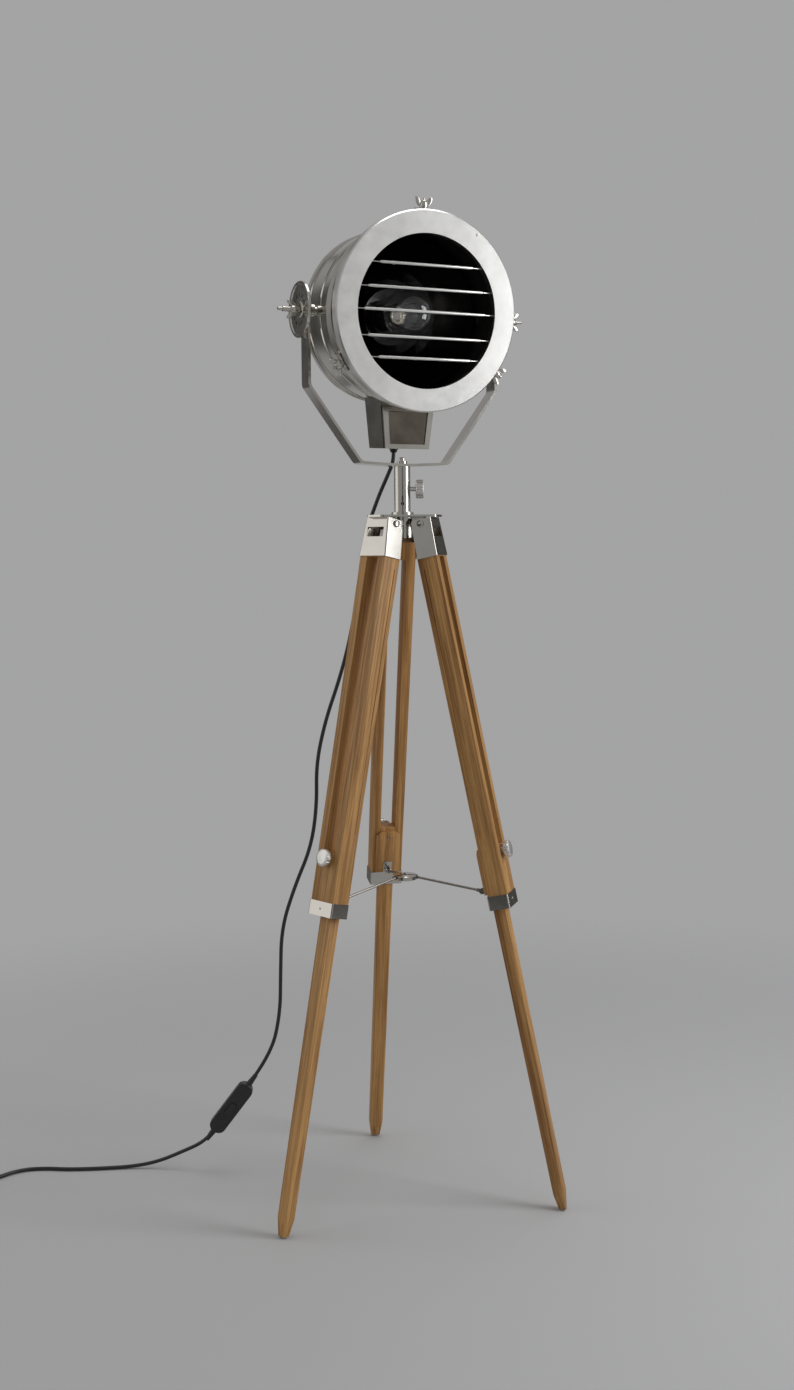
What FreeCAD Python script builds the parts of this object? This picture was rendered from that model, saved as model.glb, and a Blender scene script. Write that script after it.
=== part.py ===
import FreeCAD, Part
import math
import os

from FreeCAD import Placement, Rotation, Vector

# Tripod searchlight floor lamp, in millimetres, +Z up, -Y towards the front of the room.
# The three feet stand on z = 0. The frame's origin is the middle of the lamp's own box,
# so the tripod's axis stands at AXIS_SHIFT from it. All parts are made round the tripod's axis.

AXIS_SHIFT = Vector(-26.935, -36.24, 0.0)

# Tripod
LEG_AZIMUTHS = {"left": -137.26, "right": -17.26, "back": 102.74}
FOOT_RADIUS = 262.0
HINGE_RADIUS = 36.6
HINGE_Z = 1075.0
SLOT_WIDTH = 25.0
LEG_DEPTH = 31.0
LEG_TOP_HALF = 28.3
LEG_BOTTOM_HALF = 25.3
LEG_HEAD_HALF = 26.0
LEG_HEAD_S = 26.0
CAP_LOW_S = 53.0
CAP_HIGH_S = -7.0
CAP_HIGH_HALF = 25.0
CAP_LOW_HALF = 30.4
CAP_SHEET = 1.8
STRAP_HIGH_S = 587.0
STRAP_LOW_S = 609.0
STRAP_SHEET = 1.6
BLOCK_HIGH_S = 512.0
SLIDE_GAP = 0.3
SLIDE_OUTER_X = 4.6
SLIDE_INNER_X = -15.2
SLIDE_HEAD_S = 508.0
KNOB_S = 521.0
KNOB_RADIUS = 13.5
GUIDE_THICK = 6.0
GUIDE_HALF = 19.5
GLIDE_HEIGHT = 2.4
ROD_PIVOT_X = -29.4
ROD_PIVOT_S = 580.3
ROD_RADIUS = 2.0
ROD_EYE_THICK = 2.4
ROD_NOSE_RADIUS = 1.8
PIVOT_PIN_RADIUS = 1.5
HINGE_PIN_RADIUS = 3.0

# Spreader hub
HUB_Z = 518.0
HUB_RADIUS = 20.5
HUB_FLOOR = 2.5
HUB_WALL = 5.5
HUB_SLOT = 5.0
HUB_REACH = 16.5

# Crown and mast
CROWN_TOP_Z = 1092.0
CROWN_PLATE = 3.2
CROWN_BOSS = 3.0
CROWN_CORNER_RADIUS = 60.0
TONGUE_HALF = 7.0
MAST_RADIUS = 12.7
MAST_BORE = 10.9
MAST_TOP_Z = 1163.7
MAST_STEP_Z = 1144.0
SLIT_WIDTH = 2.4
SLIT_LOW_Z = 1106.4
SLIT_AZIMUTH = -88.0
MAST_SCREW_Z = 1129.3

# Head: a is forward, t is along the trunnions to the right, r is the radius from the drum's axis
TRUNNION_Z = 1395.0
HEAD_YAW = 25.0
HEAD_PITCH = 4.0
YOKE_HALF = 158.0
YOKE_BEND_Z = 1283.0
YOKE_FOOT_HALF = 74.0
YOKE_FOOT_Z = 1169.0
YOKE_MID_Z = 1166.0
YOKE_WIDTH = 28.0
YOKE_THICK = 4.0
DRUM_RADIUS = 131.0
DRUM_SHEET = 1.6
DRUM_BACK_A = -62.0
DRUM_FRONT_A = 60.0
BAND_RADIUS = 143.0
BAND_FRONT_A = 86.0
LIP_RADIUS = 139.0
LIP_A = 34.0
RING_RADIUS = 148.0
RING_OPENING = 113.5
RING_FACE_A = 95.0
STUD_RADIUS = 4.0
DIAL_RADIUS = 42.0
DIAL_T = -164.5
CLAMP_ANGLES = {"top": 90.0, "left": 212.0, "right": -33.0}
LOUVRE_HEIGHTS = (68.0, 33.0, 0.0, -38.0, -69.0)
BOWL_BACK_A = -46.0
HOLDER_NECK = 14.0
HOLDER_FLOOR_A = -36.0

# Terminal box under the drum: its front face leans back a little towards its floor
BOX_TOP_Z = -125.0
BOX_LOW_Z = -203.0
BOX_TOP_HALF = 45.0
BOX_LOW_HALF = 37.0
BOX_TOP_FRONT = 27.5
BOX_LOW_FRONT = 26.0
BOX_TOP_BACK = 31.0
BOX_LOW_BACK = 27.0
BOX_SHEET = 2.0
FRAME_TOP_Z = -139.5
FRAME_STAND_OFF = 5.0
FRAME_THICK = 3.0
COLLAR_INSET = 3.0
WINDOW_TOP_Z = -146.0
WINDOW_LOW_Z = -196.0
WINDOW_TOP_HALF = 34.0
WINDOW_LOW_HALF = 29.5
PANE_THICK = 1.6
GLAND_T = -3.0
GLAND_BACK = 10.0
GLAND_LOW = -209.0
CLAMP_NUT_LIFT = 9.2

# Cord
CORD_DIAMETER = 6.0
FLOOR_Z = CORD_DIAMETER / 2
COIL_MEAN_RADIUS = 35.0
COIL_STEP = 8.0
COIL_LAYER = 6.8
COIL_QUARTERS_IN = 8
COIL_QUARTERS_OUT = 6
COIL_SENSE = -1
SWITCH_HALF_WIDE = 14.0
SWITCH_HALF_THICK = 8.0
SEAT_HALF_LONG = 11.3
ROCKER_HALF_LONG = 10.6
ROCKER_PIN_RADIUS = 1.4
ROCKER_PIN_Y = -6.5

made = []
cord_made = []


def rot_z(degrees):
    return Placement(Vector(0, 0, 0), Rotation(Vector(0, 0, 1), degrees))


def box(x0, x1, y0, y1, z0, z1):
    return Part.makeBox(x1 - x0, y1 - y0, z1 - z0, Vector(x0, y0, z0))


def cylinder(radius, start, direction, length):
    return Part.makeCylinder(radius, length, start, direction)


def tube(outer, inner, start, direction, length):
    return cylinder(outer, start, direction, length).cut(cylinder(inner, start, direction, length))


def prism(points, depth):
    """A flat outline pushed out along the given vector."""
    wire = Part.makePolygon(list(points) + [points[0]])
    return Part.Face(wire).extrude(depth)


def turned(profile):
    """A profile of (radius, height) points turned round the Z axis."""
    points = [Vector(r, 0, h) for r, h in profile]
    wire = Part.makePolygon(points + [points[0]])
    return Part.Face(wire).revolve(Vector(0, 0, 0), Vector(0, 0, 1), 360)


def fillet_where(shape, radius, keep):
    edges = [edge for edge in shape.Edges if keep(edge)]
    if not edges:
        return shape
    return shape.makeFillet(radius, edges)


def along(edge, axis):
    """True for a straight edge that runs along the axis."""
    if len(edge.Vertexes) != 2 or not isinstance(edge.Curve, (Part.Line, Part.LineSegment)):
        return False
    step = edge.Vertexes[1].Point.sub(edge.Vertexes[0].Point)
    return step.cross(axis).Length < 1e-6


def save(name, solids, placement=None, on_cord=False):
    """Writes one node: a solid, or a group of separate like solids."""
    group = []
    for solid in solids if isinstance(solids, list) else [solids]:
        piece = solid.copy()
        if placement is not None:
            piece.Placement = placement.multiply(piece.Placement)
        piece.translate(AXIS_SHIFT)
        for part in piece.Solids:
            assert part.isValid(), name
            group.append(part)
    shape = group[0] if len(group) == 1 else Part.makeCompound(group)
    shape.exportStep("parts/" + name + ".step")
    (cord_made if on_cord else made).append(shape)
    print(name, len(group), "volume cm3", round(shape.Volume / 1000, 2))


# ---------------------------------------------------------------- tripod


def leg_placement(azimuth):
    """Leg frame: x outwards, y round the tripod, z up along the leg, with the hinge pin at its origin."""
    splay = math.degrees(math.atan2(FOOT_RADIUS - HINGE_RADIUS, HINGE_Z))
    lean = Placement(Vector(HINGE_RADIUS, 0, HINGE_Z), Rotation(Vector(0, 1, 0), -splay))
    return rot_z(azimuth).multiply(lean)


def cap_half(s):
    share = (s - CAP_HIGH_S) / (CAP_LOW_S - CAP_HIGH_S)
    return CAP_HIGH_HALF + share * (CAP_LOW_HALF - CAP_HIGH_HALF)


def leg_cap():
    """A folded sheet channel, open to the inside, with a window in its outer face."""
    outer_x = LEG_DEPTH / 2 + 0.4 + CAP_SHEET
    inner_x = -LEG_DEPTH / 2 + 1.0

    def body(x0, x1, inset, high, low):
        outline = [
            Vector(x0, -cap_half(high) + inset, -high),
            Vector(x0, cap_half(high) - inset, -high),
            Vector(x0, cap_half(low) - inset, -low),
            Vector(x0, -cap_half(low) + inset, -low),
        ]
        return prism(outline, Vector(x1 - x0, 0, 0))

    shell = body(inner_x, outer_x, 0.0, CAP_HIGH_S, CAP_LOW_S)
    middle_half = cap_half((CAP_HIGH_S + CAP_LOW_S) / 2)
    shell = fillet_where(
        shell,
        2.4,
        lambda e: abs(e.CenterOfMass.x - outer_x) < 1e-6 and abs(abs(e.CenterOfMass.y) - middle_half) < 1.0,
    )
    hollow = body(inner_x - 5, outer_x - CAP_SHEET, CAP_SHEET, CAP_HIGH_S - 5, CAP_LOW_S + 5)
    shell = shell.cut(hollow)
    window_half = 18.5
    window = box(outer_x - 6, outer_x + 2, -window_half, window_half, -23, -8)
    shell = shell.cut(window)
    corner = box(-40, -2, -50, 50, -2, 20).cut(
        cylinder(12.0, Vector(-4, -50, -2), Vector(0, 1, 0), 100)
    )
    shell = shell.cut(corner)
    pin_hole = cylinder(HINGE_PIN_RADIUS + 0.08, Vector(0, -50, 0), Vector(0, 1, 0), 100)
    return shell.cut(pin_hole)


def upper_leg():
    """Two rails with a long slot between them, a block under the cap and a closing block below."""
    half_depth = LEG_DEPTH / 2
    low_s = STRAP_LOW_S - 1.0
    outline = [
        Vector(-half_depth, -LEG_HEAD_HALF, -LEG_HEAD_S),
        Vector(-half_depth, LEG_HEAD_HALF, -LEG_HEAD_S),
        Vector(-half_depth, LEG_TOP_HALF, -CAP_LOW_S),
        Vector(-half_depth, LEG_BOTTOM_HALF, -low_s),
        Vector(-half_depth, -LEG_BOTTOM_HALF, -low_s),
        Vector(-half_depth, -LEG_TOP_HALF, -CAP_LOW_S),
    ]
    leg = prism(outline, Vector(LEG_DEPTH, 0, 0))
    half_slot = SLOT_WIDTH / 2
    slot = box(-40, 40, -half_slot, half_slot, -BLOCK_HIGH_S, -CAP_LOW_S - 1)
    leg = leg.cut(slot)
    channel = box(-40, SLIDE_OUTER_X + SLIDE_GAP, -half_slot, half_slot, -low_s - 5, -BLOCK_HIGH_S + 1)
    leg = leg.cut(channel)
    screw_hole = cylinder(3.1, Vector(0, 0, -KNOB_S), Vector(1, 0, 0), 40)
    leg = leg.cut(screw_hole)
    for side in (-1, 1):
        groove = box(-8.6, -7.4, 0, 6, -480.0, -70.0)
        groove.translate(Vector(0, LEG_BOTTOM_HALF if side > 0 else -LEG_BOTTOM_HALF - 6, 0))
        leg = leg.cut(groove)
    return leg


def guide_plate():
    """The chamfered wooden plate on the leg's inner face that keeps the lower leg in its channel."""
    high, low, cut = 514.0, 585.0, 7.0
    x1 = -LEG_DEPTH / 2
    x0 = x1 - GUIDE_THICK
    outline = [
        Vector(x0, -GUIDE_HALF + cut, -high),
        Vector(x0, GUIDE_HALF - cut, -high),
        Vector(x0, GUIDE_HALF, -high - cut),
        Vector(x0, GUIDE_HALF, -low),
        Vector(x0, -GUIDE_HALF, -low),
        Vector(x0, -GUIDE_HALF, -high - cut),
    ]
    plate = prism(outline, Vector(GUIDE_THICK, 0, 0))
    hole = cylinder(2.2, Vector(x0 - 1, 0, -high - 12), Vector(1, 0, 0), 3.0)
    return plate.cut(hole)


def leg_strap():
    """The metal band round the foot of the upper leg."""
    x_in = LEG_DEPTH / 2
    y_in = LEG_BOTTOM_HALF + 0.1
    x_out = x_in + STRAP_SHEET
    y_out = y_in + STRAP_SHEET
    band = box(-x_out, x_out, -y_out, y_out, -STRAP_LOW_S, -STRAP_HIGH_S)
    band = fillet_where(band, 2.2, lambda e: along(e, Vector(0, 0, 1)))
    return band.cut(box(-x_in, x_in, -y_in, y_in, -STRAP_LOW_S - 1, -STRAP_HIGH_S + 1))


def rod_bracket():
    """A two-eared bracket on the guide plate, with its riveted pin."""
    face_x = -LEG_DEPTH / 2 - GUIDE_THICK
    base = box(face_x - 1.6, face_x, -7, 7, -585.0, -566.0)
    ears = []
    for side in (-1, 1):
        y0 = side * 2.0 if side > 0 else -3.6
        ear = box(ROD_PIVOT_X, face_x - 1.0, y0, y0 + 1.6, -ROD_PIVOT_S - 4.5, -ROD_PIVOT_S + 4.5)
        tip = cylinder(4.5, Vector(ROD_PIVOT_X, y0, -ROD_PIVOT_S), Vector(0, 1, 0), 1.6)
        ears.append(ear.fuse(tip))
    pin = cylinder(PIVOT_PIN_RADIUS, Vector(ROD_PIVOT_X, -4.4, -ROD_PIVOT_S), Vector(0, 1, 0), 8.8)
    return base.fuse(ears + [pin]).removeSplitter()


def tapered_bar(sections, bevel):
    """A solid with flat faces through bevelled rectangles of (x0, x1, half width, s) along the leg."""
    rings = []
    for x0, x1, half, along_leg in sections:
        flat = [
            (x0, -half + bevel), (x0 + bevel, -half), (x1 - bevel, -half), (x1, -half + bevel),
            (x1, half - bevel), (x1 - bevel, half), (x0 + bevel, half), (x0, half - bevel),
        ]
        rings.append([Vector(x, y, -along_leg) for x, y in flat])
    faces = [Part.Face(Part.makePolygon(ring + [ring[0]])) for ring in (rings[0], rings[-1])]
    for upper, lower in zip(rings, rings[1:]):
        for index in range(len(upper)):
            after = (index + 1) % len(upper)
            corners = [upper[index], upper[after], lower[after], lower[index]]
            faces.append(Part.Face(Part.makePolygon(corners + [corners[0]])))
    shell = Part.makeShell(faces)
    shell.sewShape()
    bar = Part.makeSolid(shell)
    if bar.Volume < 0:
        bar.reverse()
    return bar


def lower_leg(placement):
    """The sliding lower leg, tapered towards its foot and cut level with the floor."""
    half = SLOT_WIDTH / 2 - SLIDE_GAP
    sections = []
    for along_leg, trim in ((SLIDE_HEAD_S, 0.0), (700.0, 0.0), (1068.0, 1.4), (1100.0, 5.5)):
        sections.append((SLIDE_INNER_X + trim, SLIDE_OUTER_X - trim, half - trim, along_leg))
    leg = tapered_bar(sections, 0.8)
    ground = box(-400, 400, -400, 400, -60, GLIDE_HEIGHT)
    ground.Placement = placement.inverse()
    return leg.cut(ground)


def leg_knob():
    """A turned clamp knob and its screw, which presses on the lower leg."""
    face_x = LEG_DEPTH / 2
    profile = [
        (0, 0), (4.6, 0), (4.6, 2.6), (9.0, 3.2), (12.6, 4.6), (KNOB_RADIUS, 6.4),
        (KNOB_RADIUS, 11.4), (12.4, 13.2), (9.5, 14.2), (0, 14.6),
    ]
    knob = turned(profile)
    reach = face_x - SLIDE_OUTER_X
    screw = cylinder(3.0, Vector(0, 0, 0.3 - reach), Vector(0, 0, 1), reach)
    knob = knob.fuse(screw)
    grips = 10
    for number in range(grips):
        angle = 2 * math.pi * number / grips
        spot = Vector((KNOB_RADIUS + 1.2) * math.cos(angle), (KNOB_RADIUS + 1.2) * math.sin(angle), 3.0)
        knob = knob.cut(cylinder(2.3, spot, Vector(0, 0, 1), 12))
    knob.Placement = Placement(Vector(face_x + 0.3, 0, -KNOB_S), Rotation(Vector(0, 1, 0), 90))
    return knob


def spreader_rod(azimuth, placement):
    """A round rod with flattened eyes, from its leg bracket to the slot in the hub."""
    pivot = placement.multVec(Vector(ROD_PIVOT_X, 0, -ROD_PIVOT_S))
    reach = math.hypot(pivot.x, pivot.y)
    rise = HUB_Z - pivot.z
    length = math.hypot(reach - HUB_REACH, rise)
    body = cylinder(ROD_RADIUS, Vector(7, 0, 0), Vector(1, 0, 0), length - 12)
    eye = cylinder(3.6, Vector(0, -ROD_EYE_THICK / 2, 0), Vector(0, 1, 0), ROD_EYE_THICK)
    neck = box(0, 9, -ROD_EYE_THICK / 2, ROD_EYE_THICK / 2, -2.6, 2.6)
    half_thick = ROD_EYE_THICK / 2
    end = box(length - 8, length, -half_thick, half_thick, -ROD_NOSE_RADIUS, ROD_NOSE_RADIUS)
    nose = cylinder(ROD_NOSE_RADIUS, Vector(length, -half_thick, 0), Vector(0, 1, 0), ROD_EYE_THICK)
    rod = body.fuse([eye, neck, end, nose]).removeSplitter()
    hole = cylinder(PIVOT_PIN_RADIUS + 0.08, Vector(0, -5, 0), Vector(0, 1, 0), 10)
    rod = rod.cut(hole)
    slope = math.degrees(math.atan2(rise, reach - HUB_REACH))
    turn = Rotation(Vector(0, 0, 1), azimuth + 180).multiply(Rotation(Vector(0, 1, 0), -slope))
    rod.Placement = Placement(pivot, turn)
    print("rod length", round(length, 2), "slope", round(slope, 2), "pivot", pivot)
    return rod


def spreader_hub():
    """A round hub with a floor and three open slots, one for each rod."""
    bottom = HUB_Z - HUB_FLOOR - 3.0
    profile = [
        (0, bottom), (HUB_RADIUS - 4.0, bottom), (HUB_RADIUS, bottom + 1.8),
        (HUB_RADIUS, bottom + HUB_FLOOR + HUB_WALL - 1.2), (HUB_RADIUS - 1.2, bottom + HUB_FLOOR + HUB_WALL),
        (0, bottom + HUB_FLOOR + HUB_WALL),
    ]
    hub = turned(profile)
    for azimuth in LEG_AZIMUTHS.values():
        slot = box(0, 40, -HUB_SLOT / 2, HUB_SLOT / 2, bottom + HUB_FLOOR, bottom + 40)
        slot.Placement = rot_z(azimuth)
        hub = hub.cut(slot)
    return hub


def crown():
    """The triangular crown casting: a plate on three radial tongues that carry the hinge pins."""
    top = CROWN_TOP_Z - CROWN_BOSS
    low = top - CROWN_PLATE
    outline = []
    for azimuth in LEG_AZIMUTHS.values():
        for side in (-1, 1):
            outline.append(rot_z(azimuth).multVec(Vector(CROWN_CORNER_RADIUS, side * 17.0, low)))
    plate = prism(outline, Vector(0, 0, CROWN_PLATE))
    plate = fillet_where(plate, 7.0, lambda e: along(e, Vector(0, 0, 1)))
    core = cylinder(19.0, Vector(0, 0, HINGE_Z - 22), Vector(0, 0, 1), low - HINGE_Z + 23)
    crown_shape = plate.fuse(core)
    for azimuth in LEG_AZIMUTHS.values():
        tongue = box(0, HINGE_RADIUS, -TONGUE_HALF, TONGUE_HALF, HINGE_Z - 9, low + 1)
        end = cylinder(9.0, Vector(HINGE_RADIUS, -TONGUE_HALF, HINGE_Z), Vector(0, 1, 0), 2 * TONGUE_HALF)
        web = tongue.fuse(end)
        hole = cylinder(HINGE_PIN_RADIUS, Vector(HINGE_RADIUS, -20, HINGE_Z), Vector(0, 1, 0), 40)
        web = web.cut(hole)
        web.Placement = rot_z(azimuth)
        crown_shape = crown_shape.fuse(web)
    boss = cylinder(17.5, Vector(0, 0, top - 1), Vector(0, 0, 1), CROWN_BOSS + 1)
    return crown_shape.fuse(boss).removeSplitter()


def hinge_pin(azimuth):
    half = cap_half(0) + 0.8
    pin = cylinder(HINGE_PIN_RADIUS, Vector(0, -half, 0), Vector(0, 1, 0), 2 * half)
    head = turned([(0, 0), (5.2, 0), (5.2, 1.2), (3.4, 2.6), (0, 3.0)])
    heads = []
    for side in (-1, 1):
        cap_end = head.copy()
        cap_end.Placement = Placement(Vector(0, side * half, 0), Rotation(Vector(1, 0, 0), -90 * side))
        heads.append(cap_end)
    pin = pin.fuse(heads)
    pin.Placement = rot_z(azimuth).multiply(Placement(Vector(HINGE_RADIUS, 0, HINGE_Z), Rotation()))
    return pin


def mast_tube():
    """The slit tube that grips the head's stem."""
    base_z = CROWN_TOP_Z
    foot = turned([
        (MAST_BORE, base_z), (17.0, base_z), (17.0, base_z + 1.6),
        (MAST_RADIUS, base_z + 2.2), (MAST_BORE, base_z + 2.2),
    ])
    mast = tube(MAST_RADIUS, MAST_BORE, Vector(0, 0, base_z), Vector(0, 0, 1), MAST_TOP_Z - base_z)
    groove = tube(MAST_RADIUS + 2, MAST_RADIUS - 0.4, Vector(0, 0, MAST_STEP_Z - 0.5), Vector(0, 0, 1), 1.0)
    mast = mast.fuse(foot).cut(groove)
    direction = rot_z(SLIT_AZIMUTH).multVec(Vector(1, 0, 0))
    slit = box(0, 20, -SLIT_WIDTH / 2, SLIT_WIDTH / 2, SLIT_LOW_Z, MAST_TOP_Z + 1)
    slit.Placement = rot_z(SLIT_AZIMUTH)
    stop_hole = cylinder(2.6, Vector(0, 0, SLIT_LOW_Z), direction, 20)
    screw_hole = cylinder(3.1, Vector(0, 0, MAST_SCREW_Z), Vector(1, 0, 0), 20)
    return mast.cut(slit).cut(stop_hole).cut(screw_hole).removeSplitter()


def mast_knob():
    """The knurled thumbscrew that clamps the stem."""
    profile = [(0, 0), (3.6, 0), (3.6, 7.6), (13.4, 8.4), (14.7, 9.6), (14.7, 19.0), (13.4, 20.2), (0, 20.4)]
    knob = turned(profile).fuse(cylinder(3.0, Vector(0, 0, -1.4), Vector(0, 0, 1), 2.0))
    grips = 18
    for number in range(grips):
        angle = 2 * math.pi * number / grips
        spot = Vector(15.2 * math.cos(angle), 15.2 * math.sin(angle), 8.0)
        knob = knob.cut(cylinder(1.3, spot, Vector(0, 0, 1), 13))
    knob.Placement = Placement(Vector(MAST_RADIUS + 0.2, 0, MAST_SCREW_Z), Rotation(Vector(0, 1, 0), 90))
    return knob


# ---------------------------------------------------------------- head


def head_placement(pitch=0.0):
    """Head frame: x along the trunnions, y backwards, z up, with the trunnion axis at its origin."""
    turn = Rotation(Vector(0, 0, 1), HEAD_YAW).multiply(Rotation(Vector(1, 0, 0), pitch))
    return Placement(Vector(0, 0, TRUNNION_Z), turn)


def forward_turned(profile):
    """A profile of (radius, forward) points turned round the drum's axis."""
    shape = turned(profile)
    shape.Placement = Placement(Vector(0, 0, 0), Rotation(Vector(1, 0, 0), 90))
    return shape


def yoke():
    """A flat strip bent to a U, with rounded ends round the trunnions."""
    z0 = -TRUNNION_Z
    centre = [
        Vector(-YOKE_HALF, 0, 0),
        Vector(-YOKE_HALF, 0, YOKE_BEND_Z + z0),
        Vector(-YOKE_FOOT_HALF, 0, YOKE_FOOT_Z + z0),
        Vector(-14, 0, YOKE_MID_Z + z0),
        Vector(14, 0, YOKE_MID_Z + z0),
        Vector(YOKE_FOOT_HALF, 0, YOKE_FOOT_Z + z0),
        Vector(YOKE_HALF, 0, YOKE_BEND_Z + z0),
        Vector(YOKE_HALF, 0, 0),
    ]

    def offset(distance):
        moved = []
        for index, point in enumerate(centre):
            before = centre[index].sub(centre[index - 1]).normalize() if index > 0 else None
            after = centre[index + 1].sub(centre[index]).normalize() if index < len(centre) - 1 else None
            ways = [way for way in (before, after) if way is not None]
            normals = [Vector(-way.z, 0, way.x) for way in ways]
            total = Vector(0, 0, 0)
            for normal in normals:
                total = total.add(normal)
            total.normalize()
            moved.append(point.add(total.multiply(distance / total.dot(normals[0]))))
        return moved

    outline = offset(YOKE_THICK / 2) + offset(-YOKE_THICK / 2)[::-1]
    half = YOKE_WIDTH / 2
    strip = prism([point.add(Vector(0, -half, 0)) for point in outline], Vector(0, YOKE_WIDTH, 0))
    bends = [abs(centre[1].z), abs(centre[2].z)]

    def at_bend(edge):
        if not along(edge, Vector(0, 1, 0)):
            return False
        spot = edge.CenterOfMass
        return abs(abs(spot.z) - bends[0]) < 6 and abs(abs(spot.x) - YOKE_HALF) < 6

    def at_foot(edge):
        if not along(edge, Vector(0, 1, 0)):
            return False
        spot = edge.CenterOfMass
        return abs(abs(spot.z) - bends[1]) < 6 and abs(abs(spot.x) - YOKE_FOOT_HALF) < 6

    strip = fillet_where(strip, 14.0, at_bend)
    strip = fillet_where(strip, 12.0, at_foot)
    for side in (-1, 1):
        eye = cylinder(half, Vector(side * YOKE_HALF - YOKE_THICK / 2, 0, 0), Vector(1, 0, 0), YOKE_THICK)
        strip = strip.fuse(eye)
        hole = cylinder(STUD_RADIUS + 0.08, Vector(side * YOKE_HALF - 5, 0, 0), Vector(1, 0, 0), 10)
        strip = strip.cut(hole)
    strip = strip.cut(cylinder(5.0, Vector(0, 0, z0 + YOKE_MID_Z - 10), Vector(0, 0, 1), 20))
    return strip.removeSplitter()


def yoke_stem():
    """The stem below the yoke, its shoulder, and the threaded end and nut above the strip."""
    top = YOKE_MID_Z + YOKE_THICK / 2
    under = YOKE_MID_Z - YOKE_THICK / 2
    profile = [
        (0, SLIT_LOW_Z + 12), (MAST_BORE - 0.06, SLIT_LOW_Z + 12), (MAST_BORE - 0.06, under),
        (5.0, under), (5.0, top), (8.0, top), (8.0, top + 4.5),
        (5.0, top + 4.5), (5.0, top + 9.0), (4.0, top + 10.0), (0, top + 10.0),
    ]
    return turned(profile)


def drum():
    """The main drum: thin wall, open front with its wider band, lip and pressed ribs."""
    outer = [
        (DRUM_RADIUS, DRUM_BACK_A), (DRUM_RADIUS, LIP_A - 6), (LIP_RADIUS - 1.0, LIP_A - 4),
        (LIP_RADIUS, LIP_A - 2), (LIP_RADIUS, LIP_A + 1), (DRUM_RADIUS + 1.2, LIP_A + 4),
    ]
    for rib in range(2):
        start = LIP_A + 8 + rib * 9
        outer += [
            (DRUM_RADIUS + 1.2, start), (DRUM_RADIUS + 4.0, start + 2),
            (DRUM_RADIUS + 4.0, start + 4), (DRUM_RADIUS + 1.2, start + 6),
        ]
    outer += [
        (DRUM_RADIUS + 1.2, DRUM_FRONT_A), (BAND_RADIUS - 1.5, DRUM_FRONT_A + 1.5),
        (BAND_RADIUS, DRUM_FRONT_A + 3), (BAND_RADIUS, BAND_FRONT_A),
    ]
    inner_radius = DRUM_RADIUS - DRUM_SHEET
    inner = [
        (BAND_RADIUS - DRUM_SHEET - 0.4, BAND_FRONT_A), (BAND_RADIUS - DRUM_SHEET - 0.4, DRUM_FRONT_A + 5),
        (inner_radius, DRUM_FRONT_A + 2.5), (inner_radius, DRUM_BACK_A),
    ]
    shell = forward_turned(outer + inner)
    for side in (-1, 1):
        hole = cylinder(STUD_RADIUS, Vector(side * (DRUM_RADIUS - 6), 0, 0), Vector(side, 0, 0), 20)
        shell = shell.cut(hole)
    wire_hole = cylinder(5.0, Vector(0, 8, -DRUM_RADIUS - 6), Vector(0, 0, 1), 14)
    return shell.cut(wire_hole)


def rear_cap():
    """The domed back with its stepped rim, its collar inside the drum, and its vent holes."""
    front = DRUM_BACK_A
    collar_radius = DRUM_RADIUS - DRUM_SHEET
    inner_radius = DRUM_RADIUS - 5.0
    outer_wall = [
        (collar_radius, front + 6), (collar_radius, front), (DRUM_RADIUS - 3.0, front - 0.5),
        (DRUM_RADIUS - 3.0, front - 5), (DRUM_RADIUS + 1.0, front - 6), (DRUM_RADIUS + 1.0, front - 13),
        (DRUM_RADIUS - 6, front - 17), (104.0, front - 24), (60.0, front - 29), (0, front - 31),
    ]
    inner_wall = [
        (0, front - 29.4), (59.8, front - 27.4), (103.4, front - 22.4), (DRUM_RADIUS - 7.4, front - 15.4),
        (inner_radius, front - 12), (inner_radius, front + 6),
    ]
    cap = forward_turned(outer_wall + inner_wall)
    vents = 7
    for number in range(vents):
        angle = math.radians(36 + 108.0 * number / (vents - 1))
        spot = Vector(82 * math.cos(angle), -front + 10, 82 * math.sin(angle))
        cap = cap.cut(cylinder(3.2, spot, Vector(0, 1, 0), 40))
    return cap


def front_ring():
    """The wide flat front ring with its rolled outer rim and inner return."""
    back = BAND_FRONT_A
    profile = [
        (RING_OPENING, RING_FACE_A), (RING_RADIUS - 2.0, RING_FACE_A), (RING_RADIUS, RING_FACE_A - 2.0),
        (RING_RADIUS, back - 6), (RING_RADIUS - 1.6, back - 6), (RING_RADIUS - 1.6, back),
        (BAND_RADIUS - 12.0, back), (BAND_RADIUS - 12.0, RING_FACE_A - 1.8),
        (RING_OPENING + 1.8, RING_FACE_A - 1.8), (RING_OPENING + 1.8, RING_FACE_A - 14),
        (RING_OPENING, RING_FACE_A - 14),
    ]
    return forward_turned(profile)


def louvre_blades():
    """Five level blades across the opening, each with folded ends, seated in the ring's return."""
    blades = []
    front = RING_FACE_A - 4.0
    depth = 9.5
    for height in LOUVRE_HEIGHTS:
        half = math.sqrt(RING_OPENING ** 2 - (abs(height) + 0.9) ** 2)
        blade = box(-half, half, -front, -front + depth, height - 0.9, height + 0.9)
        edge = cylinder(1.8, Vector(-half + 1.0, -front + 1.6, height), Vector(1, 0, 0), 2 * half - 2.0)
        blades.append(blade.fuse(edge).removeSplitter())
    return blades


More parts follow.
